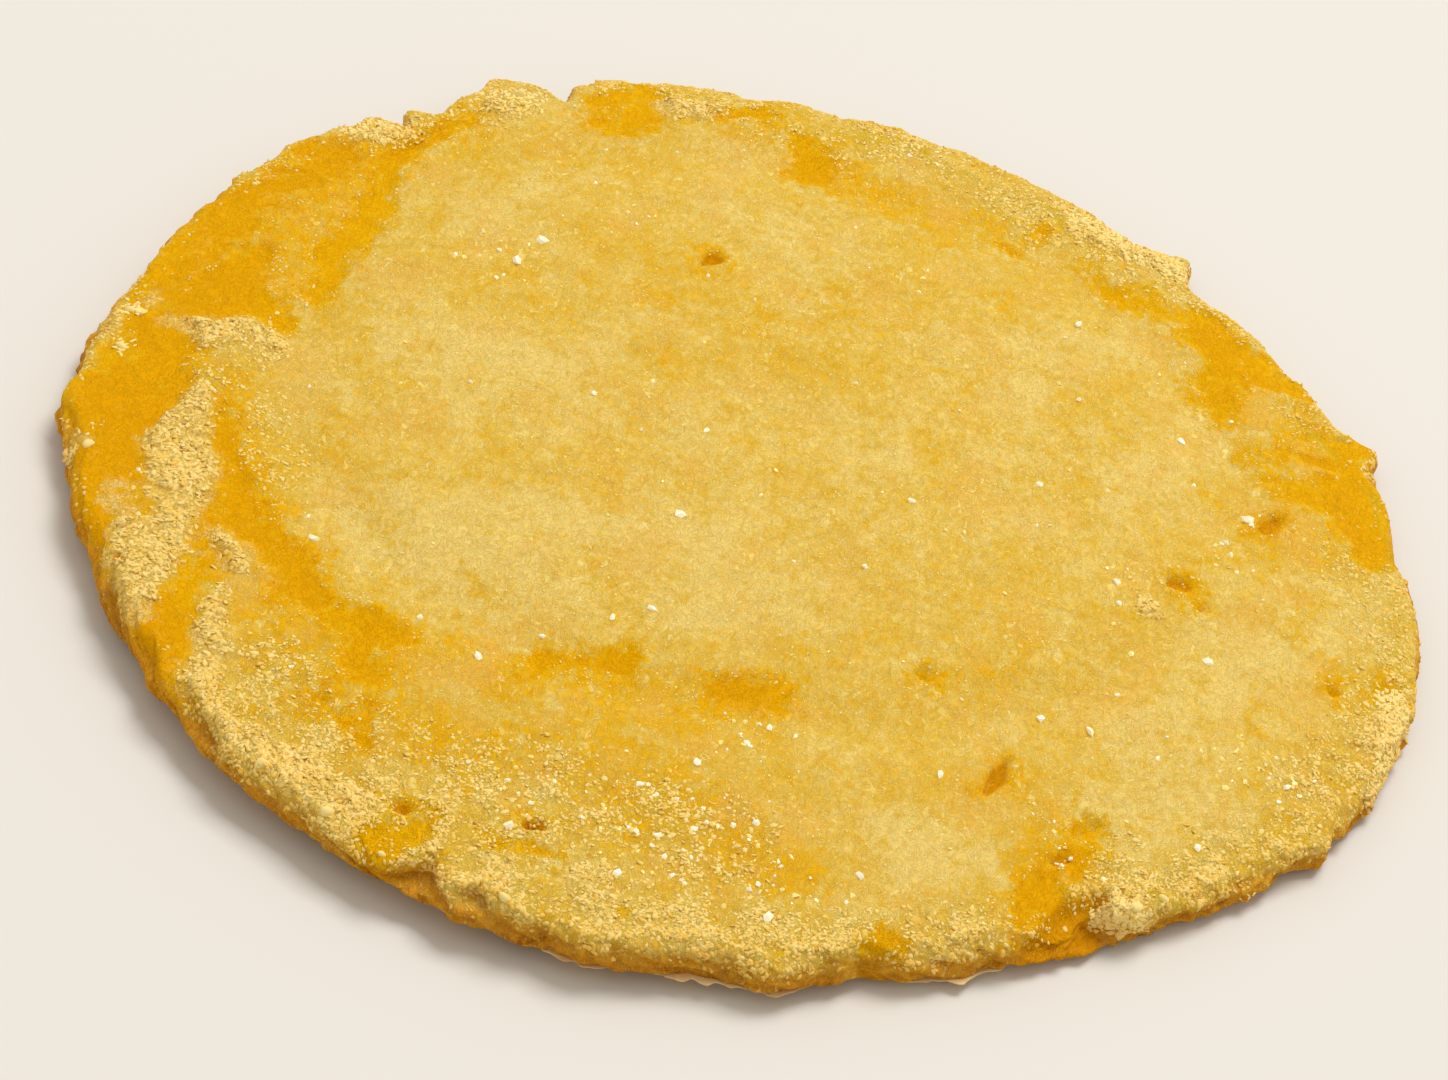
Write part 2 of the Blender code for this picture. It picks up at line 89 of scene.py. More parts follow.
# Skin: how deep the bare places lie and how lumpy the crust is
SKIN_THICKNESS = 0.13
SKIN_EDGE = 0.45
SKIN_WANDER = ((2.6, 0.75), (1.3, 0.40))
SKIN_RAGS = ((0.9, 0.30), (0.5, 0.22))
SKIN_LIP = 0.04
LIP_OUT = 0.5
LIP_WIDTH = 0.35
CRUST_RISE = 0.22
LUMPS = ((7.0, 0.14), (2.6, 0.07), (1.3, 0.04))
LUMPS_LOST_ON_BARE = 0.7
EDGE_RAGS = ((3.2, 0.18), (1.3, 0.18), (0.6, 0.16))
RAGS_START = 0.9
RAGS_DRIFT = (5.0, -4.0)
NICK_BLEND = 0.1
SEED = 41

# How far each kind of place fades to each side of its outline, in millimetres
DENT_FADE = 0.30
STAIN_FADE = 0.9
PALE_FADE = 1.8
OLIVE_FADE = 0.4
CRUMBLY_FADE = 1.4
RAGS_ON_PITS = 0.3

# Fine crumb, as (size, height) of each layer of its noise, and how much of it each
# kind of surface has
FINE_CRUMB = ((0.80, 0.050), (0.45, 0.050))
CRUMB_ON_SKIN = 0.9
CRUMB_ON_CRUST = 1.8
CRUMB_ON_BARE = 0.45
CRUMB_ON_WALL = 2.2
WALL_CRUMB_GROWS = (0.05, 0.70)

# Clumps that the coarse crumb gathers in: their sizes, and how high they stand
CLUMPS = ((1.7, 0.6), (0.8, 0.4))
CLUMP_EDGES = (-0.20, 0.30)
CLUMP_RISE = 0.16

# Mesh density of the body
TOP_CELLS = 264
TOP_CROWDING = 0.25
EDGE_ROWS = 20
EDGE_SAMPLES = 400
UNDERSIDE_ROWS = 4
TINY = 1e-9
DEEPEST_VALUE = 3.0


class Patch(NamedTuple):
    """A place on the top that follows a path: (x, y, half width) at each point of the
    path, and the place's depth, height or strength."""

    path: tuple
    size: float = 1.0


class Nick(NamedTuple):
    """A bite out of the edge, or a tongue if its depth is below zero: the angle round the
    edge, half its width along the edge, its depth, and the share of the edge's height
    where it starts."""

    angle: float
    half_width: float
    depth: float
    starts: float = 0.0


# Bare places, where the skin is gone and the moist amber crumb shows
BARE_BACK_LEFT = (
    Patch(((-20.2, 29.9, 0.3), (-20.9, 28.0, 0.8), (-22.2, 25.8, 0.9), (-23.4, 24.0, 0.8))),
    Patch(((-23.4, 24.0, 0.8), (-24.3, 21.5, 1.0), (-24.4, 19.0, 0.7), (-24.8, 17.2, 1.0))),
    Patch(((-24.8, 17.2, 0.8), (-25.3, 14.2, 1.1), (-25.9, 12.0, 1.2), (-26.4, 9.2, 0.7))),
    Patch(((-23.6, 26.3, 0.5), (-22.0, 26.6, 0.6))),
    Patch(((-28.8, 22.0, 0.8), (-27.0, 21.9, 0.9), (-27.8, 20.4, 0.9))),
    Patch(((-29.2, 19.2, 0.6), (-28.6, 18.4, 0.7))),
    Patch(((-29.6, 18.4, 1.0), (-31.4, 16.2, 1.4), (-32.2, 13.6, 1.4), (-33.0, 11.0, 1.0))),
    Patch(((-33.0, 11.0, 1.0), (-33.9, 8.4, 0.8), (-34.4, 6.8, 0.8))),
    Patch(((-30.6, 10.2, 1.2), (-30.6, 8.0, 2.0), (-30.8, 6.0, 1.9))),
    Patch(((-29.0, 6.6, 1.6), (-27.6, 5.6, 1.0))),
    Patch(((-32.0, 6.4, 1.3), (-34.4, 5.4, 0.9), (-35.4, 3.6, 0.8))),
    Patch(((-33.4, 2.6, 2.0), (-33.6, 0.4, 2.1), (-34.2, -4.0, 2.4), (-34.4, -8.0, 2.3))),
    Patch(((-32.2, 17.6, 0.8), (-34.0, 13.0, 0.9), (-35.2, 8.6, 0.9), (-35.6, 5.0, 0.6))),
    Patch(((-35.8, 3.0, 0.7), (-36.4, -1.0, 0.9), (-36.8, -5.0, 0.7))),
)
BARE_FRONT_LEFT = (
    Patch(((-34.6, -9.6, 1.7), (-33.8, -12.0, 1.2), (-33.2, -15.4, 0.9), (-32.6, -17.8, 0.8))),
    Patch(((-28.4, -3.2, 0.4), (-28.2, -6.0, 0.6), (-27.8, -8.4, 0.8), (-26.8, -10.6, 1.1))),
    Patch(((-26.8, -10.6, 1.0), (-25.2, -12.4, 0.9), (-23.8, -14.4, 1.2), (-22.0, -16.2, 1.0))),
    Patch(((-22.0, -16.2, 0.7), (-19.6, -17.6, 1.0), (-17.4, -18.7, 1.2), (-16.0, -18.7, 0.7))),
    Patch(((-18.4, -19.4, 0.8), (-17.4, -22.0, 0.6))),
    Patch(((-28.0, -11.2, 0.6), (-28.0, -15.4, 0.7), (-27.5, -18.4, 0.9), (-28.2, -20.8, 1.3))),
    Patch(((-28.2, -20.8, 1.5), (-28.6, -23.4, 1.9), (-28.0, -25.4, 1.5), (-26.6, -28.0, 0.9))),
    Patch(((-19.6, -24.7, 0.5), (-17.2, -25.0, 0.8), (-16.2, -26.4, 0.6))),
)
BARE_FRONT = (
    Patch(((-13.2, -31.8, 0.7), (-13.5, -33.2, 1.2), (-14.2, -34.6, 0.8))),
    Patch(((-8.9, -18.2, 0.9), (-8.3, -19.0, 0.8))),
    Patch(((-6.2, -17.8, 0.6), (-4.9, -17.2, 1.0))),
    Patch(((0.2, -18.4, 0.7), (1.6, -17.3, 0.8), (3.8, -17.5, 0.5))),
    Patch(((-8.5, -32.2, 0.5),)),
    Patch(((-7.0, -32.1, 0.5),)),
    Patch(((-2.0, -34.4, 0.4),)),
    Patch(((20.8, -21.2, 0.6), (20.3, -22.4, 0.4), (19.8, -24.1, 0.6))),
    Patch(((18.7, -25.2, 0.6), (18.5, -26.6, 1.1), (18.5, -28.0, 0.8))),
    Patch(((11.2, -32.5, 0.7), (11.5, -33.6, 0.6))),
)
BARE_RIGHT = (
    Patch(((23.4, 25.2, 0.7), (24.6, 22.8, 1.5), (25.4, 19.8, 1.6), (25.4, 17.0, 0.6))),
    Patch(((25.6, 22.6, 1.4), (27.6, 21.4, 1.6), (29.6, 20.8, 0.8))),
    Patch(((22.8, 24.4, 0.5), (20.2, 25.2, 0.6), (17.8, 26.0, 0.9))),
    Patch(((31.6, 16.8, 0.9), (33.0, 15.6, 1.7), (34.0, 12.8, 2.0), (34.6, 9.4, 2.0))),
    Patch(((34.6, 9.4, 1.8), (34.8, 7.4, 1.3))),
    Patch(((32.4, 11.8, 1.3), (30.6, 11.0, 1.1), (29.2, 11.2, 0.5))),
    Patch(((31.2, 14.3, 0.6), (29.2, 13.8, 0.4), (28.0, 13.4, 0.5))),
    Patch(((28.6, 7.3, 0.5), (29.0, 7.7, 0.5))),
    Patch(((35.8, -4.2, 0.5),)),
)
BARE_BACK = (
    Patch(((-0.9, 32.6, 1.5), (-0.5, 30.4, 1.7))),
    Patch(((-14.4, 33.0, 0.4), (-12.6, 34.2, 0.9), (-11.2, 34.6, 1.0), (-10.8, 32.4, 0.9))),
    Patch(((-10.8, 32.2, 1.0), (-11.8, 31.2, 0.8), (-13.2, 30.8, 0.5))),
    Patch(((-6.2, 34.0, 0.6), (-4.6, 35.0, 0.8), (-3.1, 35.8, 0.5))),
    Patch(((13.9, 30.1, 0.5),)),
    Patch(((12.3, 27.0, 0.6),)),
)
BARE = BARE_BACK_LEFT + BARE_FRONT_LEFT + BARE_FRONT + BARE_RIGHT + BARE_BACK

# Thick crust, which stands above the skin round it
CRUST = (
    Patch(((-30.8, -2.6, 0.8), (-30.6, -5.6, 1.4), (-30.4, -9.0, 1.8), (-30.0, -12.6, 1.6))),
    Patch(((-30.0, -12.6, 1.6), (-30.6, -16.0, 1.8), (-30.6, -18.8, 1.4), (-29.6, -21.4, 0.6))),
    Patch(((-26.9, -13.8, 0.5), (-26.6, -15.8, 0.7))),
    Patch(((-33.3, -11.2, 0.6),)),
    Patch(((-33.0, -12.8, 0.6),)),
    Patch(((-36.2, -8.2, 0.4), (-35.4, -7.8, 0.3))),
    Patch(((-32.8, 3.4, 0.8), (-30.4, 3.4, 1.0), (-28.2, 3.4, 0.8))),
    Patch(((-34.2, 5.6, 0.7),)),
    Patch(((-25.6, -18.2, 0.4), (-25.8, -22.4, 0.7), (-25.9, -25.6, 0.8))),
    Patch(((-23.8, -28.6, 1.2), (-20.6, -30.0, 1.6), (-17.6, -31.6, 1.4))),
    Patch(((-25.7, 24.2, 1.1), (-25.0, 24.9, 0.8))),
    Patch(((-19.6, 30.4, 0.8), (-17.0, 30.9, 0.5))),
    Patch(((-9.4, 34.0, 1.1), (-7.6, 34.1, 1.0))),
    Patch(((16.6, 31.0, 0.7), (19.0, 30.0, 0.9), (21.4, 29.4, 0.9))),
    Patch(((22.4, -3.0, 0.6), (23.4, -3.4, 0.5))),
    Patch(((36.4, -5.4, 0.6), (36.6, -9.0, 0.8), (35.8, -12.6, 0.6))),
    Patch(((22.4, -25.0, 0.6), (24.2, -26.6, 1.3), (26.4, -26.0, 1.2), (28.8, -23.8, 1.0))),
    Patch(((28.8, -23.8, 0.9), (30.4, -21.4, 0.5))),
)

# Soft-edged places where the moist crumb shows through thin skin
STAINS = (
    Patch(((-22.6, 27.0, 1.2), (-27.0, 21.6, 2.6), (-30.0, 15.4, 3.4), (-31.0, 9.4, 3.0)), 0.85),
    Patch(((-31.0, 9.4, 3.0), (-32.6, 3.4, 2.4), (-33.8, -3.0, 2.4), (-34.0, -9.6, 2.2)), 0.95),
    Patch(((-34.0, -9.6, 2.2), (-32.6, -16.0, 1.6), (-29.0, -22.4, 2.2), (-26.4, -27.0, 1.2)), 0.9),
    Patch(((-36.2, -9.4, 0.9), (-34.8, -14.0, 1.0), (-33.4, -17.6, 1.0), (-31.8, -21.0, 0.9)), 1.3),
    Patch(((-27.8, -4.0, 1.0), (-26.4, -11.0, 2.0), (-22.6, -17.0, 2.4), (-17.4, -20.2, 2.2)), 0.7),
    Patch(((-17.0, -20.4, 2.6), (-12.0, -20.0, 1.6), (-8.0, -19.6, 2.2), (-4.0, -19.4, 2.4)), 0.6),
    Patch(
        ((-22.0, -18.0, 2.0), (-20.0, -24.0, 2.4), (-14.0, -25.6, 2.0), (-6.0, -24.6, 2.0)), 0.55
    ),
    Patch(((-6.0, -24.6, 2.4), (0.0, -27.4, 3.0), (5.0, -29.4, 2.6)), 0.6),
    Patch(((-12.0, 32.0, 2.0), (-6.0, 33.4, 1.0), (-1.0, 31.0, 2.4), (6.0, 29.0, 2.4)), 0.5),
    Patch(((24.6, 24.0, 1.6), (27.0, 19.2, 2.2), (32.0, 14.0, 2.2), (34.0, 8.8, 1.8)), 0.6),
    Patch(((27.0, 7.6, 1.4), (30.0, 5.2, 1.8), (32.6, 7.2, 1.4)), 0.6),
    Patch(((0.0, 31.0, 2.0), (6.0, 29.0, 2.6), (12.0, 28.0, 1.6)), 0.55),
    Patch(((30.4, -2.0, 1.6), (34.0, -4.0, 1.4)), 0.4),
    Patch(((17.4, -24.6, 1.4), (19.0, -28.0, 2.0)), 0.8),
    Patch(((-27.4, 20.4, 1.4), (-28.0, 16.0, 1.8), (-28.6, 12.0, 1.8), (-29.0, 9.0, 1.2)), 0.65),
    Patch(((-30.4, 13.0, 0.9), (-31.6, 9.6, 0.8)), 0.4),
    Patch(((-30.0, -0.4, 1.0), (-28.6, -2.0, 1.2)), 0.7),
    Patch(((-25.4, -16.8, 0.8), (-23.4, -19.0, 1.6), (-22.4, -22.6, 1.8)), 0.6),
    Patch(((-24.3, -26.0, 0.5),), 0.9),
    Patch(((-22.2, -26.3, 0.4),), 0.9),
    Patch(((-20.4, -20.0, 1.0), (-18.6, -23.0, 1.6), (-16.8, -24.4, 1.0)), 0.75),
    Patch(((-22.3, -3.0, 2.2), (-20.8, -2.6, 1.0)), 0.35),
    Patch(((-22.4, -9.6, 0.8), (-20.2, -8.6, 0.4)), 0.35),
    Patch(((-26.2, -3.4, 0.4),), 0.7),
    Patch(((-14.2, -12.6, 0.5), (-12.4, -14.0, 0.7)), 0.5),
    Patch(((-13.2, -16.4, 0.4),), 0.9),
    Patch(((-12.0, -16.5, 0.3),), 0.9),
    Patch(((-8.4, -18.6, 1.6), (-5.0, -18.4, 1.8), (-1.4, -19.4, 1.6), (1.6, -17.8, 1.3)), 0.5),
    Patch(((-8.2, -20.0, 0.6), (-5.4, -22.0, 0.8), (-1.6, -21.2, 0.8), (-0.2, -19.6, 1.0)), 0.65),
    Patch(((-12.0, -27.4, 0.7), (-11.6, -29.2, 0.4)), 0.8),
    Patch(((-16.2, -22.4, 1.2), (-10.0, -26.0, 1.6), (-4.0, -26.0, 1.6)), 0.3),
    Patch(((1.6, -27.4, 1.0), (3.4, -28.8, 0.9)), 0.8),
    Patch(((-4.0, -28.4, 0.8), (-1.0, -30.6, 0.8), (2.8, -31.4, 0.8)), 0.5),
    Patch(((17.2, -20.6, 0.7), (18.6, -22.6, 1.0), (19.4, -24.6, 0.6)), 0.6),
    Patch(((11.0, -13.2, 0.4),), 1.0),
    Patch(((14.0, -11.6, 0.25),), 1.0),
    Patch(((16.4, -8.6, 0.8), (15.2, -11.8, 0.9)), 0.45),
    Patch(((15.8, -6.0, 0.6),), 0.4),
    Patch(((21.4, -3.0, 0.5), (20.6, -7.0, 0.6)), 0.5),
    Patch(((31.2, -2.7, 0.7),), 0.7),
    Patch(((33.2, -6.7, 0.4),), 0.9),
    Patch(((29.2, -8.8, 0.5), (29.4, -10.4, 0.5)), 0.7),
    Patch(((34.6, -3.6, 0.5), (36.6, -2.4, 0.4)), 0.7),
    Patch(((24.0, -0.7, 0.8),), 0.9),
    Patch(((27.0, 7.6, 0.6), (29.6, 4.6, 1.4), (31.8, 4.4, 0.8)), 0.6),
    Patch(((27.0, 5.4, 0.5), (26.8, 3.8, 0.5)), 0.6),
    Patch(((28.6, 2.3, 0.4), (31.4, 2.0, 0.8)), 0.6),
    Patch(((24.4, 8.6, 0.5), (26.0, 7.8, 0.5)), 0.5),
    Patch(((26.6, 14.6, 0.6), (28.2, 13.8, 0.6)), 0.7),
    Patch(((30.0, 8.6, 0.9), (31.6, 7.4, 0.8)), 0.5),
    Patch(((15.4, 11.0, 0.5), (17.0, 9.6, 0.5)), 0.4),
    Patch(((0.2, 13.6, 0.5), (4.0, 14.0, 0.5)), 0.5),
    Patch(((2.4, 17.0, 1.6),), 0.4),
    Patch(((-2.5, 16.4, 0.35), (-2.0, 14.2, 0.4), (0.0, 13.6, 0.4)), 0.6),
    Patch(((6.5, 15.7, 0.4),), 0.7),
    Patch(((8.0, 6.8, 0.6),), 0.4),
    Patch(((-8.6, 13.2, 1.1), (-6.6, 13.4, 1.0)), 0.5),
    Patch(((-4.9, 12.0, 0.7),), 0.5),
    Patch(((-6.7, 10.2, 0.25), (-6.0, 8.0, 0.3)), 0.5),
    Patch(((1.6, 30.6, 1.4), (6.0, 28.0, 2.2), (10.0, 26.4, 1.0)), 0.45),
    Patch(((-2.6, 30.6, 1.2), (1.0, 30.8, 1.4)), 0.5),
    Patch(((-11.0, 28.6, 1.2),), 0.3),
    Patch(((12.6, 27.0, 0.9), (10.8, 27.4, 0.4)), 0.5),
    Patch(((13.4, 30.8, 0.4), (15.8, 31.4, 0.6)), 0.8),
    Patch(((11.4, 22.0, 0.8), (14.0, 19.2, 0.8)), 0.3),
    Patch(((-11.7, 14.0, 0.2),), 0.8),
)

# Creamy places, where the skin is thickest
PALE = (
    Patch(((2.0, 0.0, 9.0), (14.0, 4.0, 4.0)), 0.35),
    Patch(((-20.0, 7.0, 3.4), (-14.0, 3.0, 5.0)), 0.9),
    Patch(((-20.0, -10.0, 3.4), (-8.0, -10.0, 4.5), (4.0, -9.0, 3.5)), 0.9),
    Patch(((-17.0, 22.0, 2.4), (-19.0, 16.0, 1.6)), 0.6),
    Patch(((-6.0, 24.0, 3.0), (2.0, 22.0, 2.4)), 0.5),
    Patch(((12.0, 14.0, 4.0), (18.0, 20.0, 3.0)), 0.5),
    Patch(((16.0, 2.0, 3.0), (20.0, 8.0, 3.0)), 0.6),
    Patch(((24.0, -14.0, 3.0), (28.0, -6.0, 2.4), (33.0, -1.0, 1.2)), 0.9),
    Patch(((23.0, -20.0, 2.4), (28.0, -18.0, 2.4)), 1.0),
    Patch(((12.0, -26.6, 2.6), (15.0, -25.0, 1.4)), 1.0),
    Patch(((33.6, 3.0, 1.6), (35.0, 0.0, 0.8)), 1.0),
    Patch(((-7.0, -33.6, 1.6), (2.0, -35.6, 1.6)), 0.7),
    Patch(((22.0, 16.0, 1.4), (27.0, 12.0, 1.0)), 0.5),
    Patch(((-9.0, 33.0, 1.2), (-16.0, 31.0, 1.4)), 0.6),
)

# Greenish yellow tinge near the edge
OLIVE = (
    Patch(((-18.9, 31.3, 0.4), (-17.6, 31.3, 0.3)), 1.0),
    Patch(((-10.0, 35.2, 0.4), (-7.2, 35.3, 0.3)), 1.0),
    Patch(((2.0, 35.4, 0.7), (8.6, 34.8, 0.6), (14.6, 32.2, 0.7)), 0.6),
    Patch(((15.8, 31.6, 0.6),), 0.8),
    Patch(((30.6, 17.0, 0.6), (31.8, 15.8, 0.5)), 0.8),
    Patch(((34.4, 13.0, 0.3), (35.2, 9.0, 0.4), (35.4, 6.0, 0.4)), 0.7),
    Patch(((36.4, -1.2, 0.5), (36.8, -3.4, 0.4)), 0.8),
    Patch(((35.8, -5.4, 0.5),), 0.8),
    Patch(((24.6, -24.6, 0.4), (26.4, -25.4, 1.0), (28.6, -23.4, 0.9)), 0.9),
    Patch(((-26.7, 24.6, 0.4), (-25.6, 25.8, 0.4)), 0.7),
)

# Rim where pale flakes of skin stand up
FLAKY_RIM = (
    Patch(((22.8, -26.6, 0.9), (25.4, -27.4, 0.9), (28.6, -25.0, 1.0), (30.6, -22.2, 0.8)), 1.0),
    Patch(((36.6, -4.6, 0.7), (36.9, -9.0, 0.8), (36.2, -12.8, 0.6)), 0.9),
    Patch(((15.6, 32.4, 0.6), (18.6, 31.0, 0.9), (22.0, 29.6, 0.9)), 0.8),
    Patch(((-26.8, 25.0, 0.8), (-25.6, 25.4, 0.8)), 0.6),
    Patch(((-20.0, 31.4, 0.6), (-17.4, 32.0, 0.6)), 0.5),
    Patch(((-11.0, -38.4, 0.8), (-7.6, -38.8, 0.6)), 0.7),
    Patch(((-35.7, 4.0, 0.4),), 0.7),
    Patch(((-35.6, 0.6, 0.3),), 0.7),
    Patch(((-36.4, -8.6, 0.5),), 0.8),
)

# Crumbly border, where the skin breaks up into coarse crumb
CRUMBLY = (
    Patch(((-26.4, -26.6, 1.4), (-21.0, -29.0, 3.0), (-14.0, -32.4, 3.4)), 0.8),
    Patch(((-14.0, -32.4, 3.4), (-5.0, -34.8, 3.0), (5.0, -35.4, 2.6)), 0.7),
    Patch(((5.0, -35.4, 2.2), (12.0, -32.8, 2.0), (18.0, -30.2, 1.6)), 0.6),
    Patch(((-22.0, -24.0, 3.0), (-18.0, -27.6, 2.6), (-8.0, -28.0, 3.0), (2.0, -29.4, 3.0)), 0.5),
    Patch(((22.6, -23.6, 1.4), (25.4, -25.4, 2.2), (29.2, -21.0, 2.4)), 0.7),
    Patch(((29.2, -21.0, 2.4), (33.4, -14.0, 2.2), (35.8, -7.0, 1.6)), 0.7),
    Patch(((35.8, -7.0, 1.4), (35.8, 2.0, 1.2), (33.4, 5.0, 1.4)), 0.5),
    Patch(((21.0, 28.0, 1.6), (15.0, 31.0, 2.0), (6.0, 34.6, 1.6), (-9.0, 34.2, 1.2)), 0.5),
    Patch(((30.4, 17.6, 1.0), (29.0, 19.8, 0.5)), 0.5),
    Patch(((-25.4, 24.6, 1.4), (-19.0, 30.6, 1.0)), 0.6),
    Patch(((-30.4, -2.0, 2.0), (-29.0, 2.6, 1.6)), 0.5),
    Patch(((-26.0, -2.0, 1.2), (-25.6, -8.0, 1.2)), 0.3),
)

# Small pits and torn hollows, with their depths
PITS = (
    Patch(((-5.4, 18.2, 0.2), (-4.9, 18.9, 0.5)), 0.4),
    Patch(((15.3, -20.6, 0.15), (15.7, -19.4, 0.45), (16.1, -18.0, 0.1)), 0.4),
    Patch(((23.6, -0.3, 0.4), (24.4, -0.1, 0.4)), 0.3),
    Patch(((28.5, 7.1, 0.4), (29.0, 7.9, 0.4)), 0.3),
    Patch(((19.4, -24.1, 0.3), (20.0, -23.7, 0.3)), 0.3),
    Patch(((20.2, -22.0, 0.3), (21.1, -21.0, 0.3)), 0.15),
    Patch(((-13.8, -31.2, 0.35),), 0.4),
    Patch(((-7.4, -30.6, 0.3), (-7.0, -30.4, 0.35)), 0.5),
    Patch(((11.0, -13.1, 0.35),), 0.2),
    Patch(((33.2, -5.5, 0.35),), 0.25),
    Patch(((25.4, -1.5, 0.2),), 0.3),
    Patch(((-31.7, -17.2, 0.3),), 0.4),
)
CHIP = Patch(((21.9, -26.0, 0.4), (21.1, -28.0, 1.4), (20.4, -30.8, 1.9)), 0.7)
FLAP_STEP = Patch(((13.6, -34.4, 0.8), (16.4, -33.0, 1.0), (19.0, -31.8, 0.8)), 0.5)

NICKS = (
    Nick(179.0, 1.6, -0.2),
    Nick(168.5, 2.6, 0.45),
    Nick(150.0, 1.6, -0.4),
    Nick(142.5, 2.4, -0.6),
    Nick(132.6, 0.7, 2.0),
    Nick(128.5, 1.3, 1.4),
    Nick(121.0, 1.3, -1.4),
    Nick(115.8, 0.9, 1.9),
    Nick(97.5, 1.3, 0.6),
    Nick(89.0, 1.3, 0.5),
    Nick(59.5, 1.3, 0.4),
    Nick(54.6, 0.9, -1.7),
    Nick(50.0, 2.2, 0.8),
    Nick(38.0, 2.2, 0.2),
    Nick(26.8, 1.2, -1.5),
    Nick(22.0, 2.2, -0.5),
    Nick(13.0, 1.6, 0.5),
    Nick(-20.0, 2.4, -0.25),
    Nick(-27.5, 1.4, -0.75),
    Nick(-51.5, 1.2, 1.4, 0.20),
    Nick(-47.0, 1.0, -0.5, 0.4),
    Nick(-56.5, 1.5, 0.4, 0.45),
    Nick(-72.0, 1.2, 0.8),
    Nick(-80.5, 1.4, -0.6),
    Nick(-86.5, 1.4, 0.5),
    Nick(-95.0, 1.4, -0.6),
    Nick(-105.2, 0.8, -0.7),
    Nick(-108.8, 1.0, 1.6, 0.40),
    Nick(-104.5, 0.7, 1.1, 0.60),
    Nick(-112.0, 1.0, -0.5, 0.5),
    Nick(-129.0, 3.4, -0.5),
    Nick(-131.0, 1.8, 0.7, 0.45),
    Nick(-138.0, 1.6, -0.35),
    Nick(-140.0, 1.2, 0.4, 0.50),
    Nick(-154.0, 2.0, 0.4),
    Nick(-173.5, 2.4, -0.75),
)


# Noise and blends

def smooth_step(value, low, high):
    """0 below low, 1 above high, and the cubic 3t^2 - 2t^3 between them."""
    share = np.clip((value - low) / (high - low), 0.0, 1.0)
    return share * share * (3.0 - 2.0 * share)


def lattice_noise(x, y, size, seed):
    """Soft noise from -1 to 1: random heights on a square lattice of this size, blended
    across each cell with the smooth step."""
    count = 128
    heights = np.random.default_rng(seed).uniform(-1.0, 1.0, (count, count))
    column, row = np.floor(x / size).astype(int), np.floor(y / size).astype(int)
    across = smooth_step(x / size - column, 0.0, 1.0)
    along = smooth_step(y / size - row, 0.0, 1.0)
    near = heights[row % count, column % count] * (1.0 - across)
    near = near + heights[row % count, (column + 1) % count] * across
    far = heights[(row + 1) % count, column % count] * (1.0 - across)
    far = far + heights[(row + 1) % count, (column + 1) % count] * across
    return near * (1.0 - along) + far * along


def layered_noise(x, y, layers, seed):
    """A sum of lattice noises, one for each (size, height)."""
    return sum(
        height * lattice_noise(x, y, size, seed + number)
        for number, (size, height) in enumerate(layers)
    )


def space_noise(points, size, seed):
    """Soft noise from -1 to 1 in space: random heights on a cubic lattice of this size,
    blended across each cell with the smooth step."""
    count = 64
    heights = np.random.default_rng(seed).uniform(-1.0, 1.0, (count, count, count))
    cell = np.floor(points / size).astype(int)
    blend = smooth_step(points / size - cell, 0.0, 1.0)
    total = np.zeros(len(points))
    for corner in itertools.product((0, 1), repeat=3):
        weight = np.prod(np.where(corner, blend, 1.0 - blend), axis=1)
        i, j, k = ((cell + corner) % count).T
        total += weight * heights[i, j, k]
    return total


def space_layers(points, layers, seed):
    """A sum of space noises, one for each (size, height)."""
    return sum(
        height * space_noise(points, size, seed + number)
        for number, (size, height) in enumerate(layers)
    )


# Form of the cookie

def distance_in(x, y, patch):
    """Roughly the distance in from a patch's outline, above zero inside: its half width
    where the path passes nearest, less the distance to the path there."""
    best = np.full(x.shape, -np.inf)
    ends = patch.path[1:] or patch.path
    for (x0, y0, half0), (x1, y1, half1) in zip(patch.path, ends):
        run, rise = x1 - x0, y1 - y0
        square = max(run**2 + rise**2, TINY)
        share = np.clip(((x - x0) * run + (y - y0) * rise) / square, 0.0, 1.0)
        away = np.hypot(x - x0 - share * run, y - y0 - share * rise)
        best = np.maximum(best, half0 + (half1 - half0) * share - away)
    return best


def deepest_in(x, y, patches):
    """The distance in from the outline of all these patches taken together."""
    return np.max([distance_in(x, y, patch) for patch in patches], axis=0)


def strongest(x, y, patches, softness):
    """The greatest of the patches' sizes at each point, faded over this many millimetres
    to each side of their outlines."""
    return np.max(
        [
            patch.size * smooth_step(distance_in(x, y, patch), -softness, softness)
            for patch in patches
        ],
        axis=0,
    )


def angle_apart(angle, centre):
    """The signed angle from a centre, in degrees, from -180 to 180."""
    return (angle - centre + 180.0) % 360.0 - 180.0


def outline_radius(angle):
    """The cookie's radius at an angle in degrees: a circle with slow lobes."""
    lobes = sum(
        height * np.cos(np.radians(count * (angle - crest)))
        for count, height, crest in OUTLINE_LOBES
    )
    return COOKIE_RADIUS + lobes


def edge_inset(share):
    """How far in the edge lies at a share of its height: a small foot curve below the
    widest place and a broad shoulder above it, both quarter ellipses."""
    below = np.clip((WIDEST_AT - share) / WIDEST_AT, 0.0, 1.0)
    above = np.clip((share - WIDEST_AT) / (1.0 - WIDEST_AT), 0.0, 1.0)
    foot = FOOT_INSET * (1.0 - np.sqrt(1.0 - below**2))
    shoulder = SHOULDER_INSET * (1.0 - np.sqrt(1.0 - above**2))
    return foot + shoulder


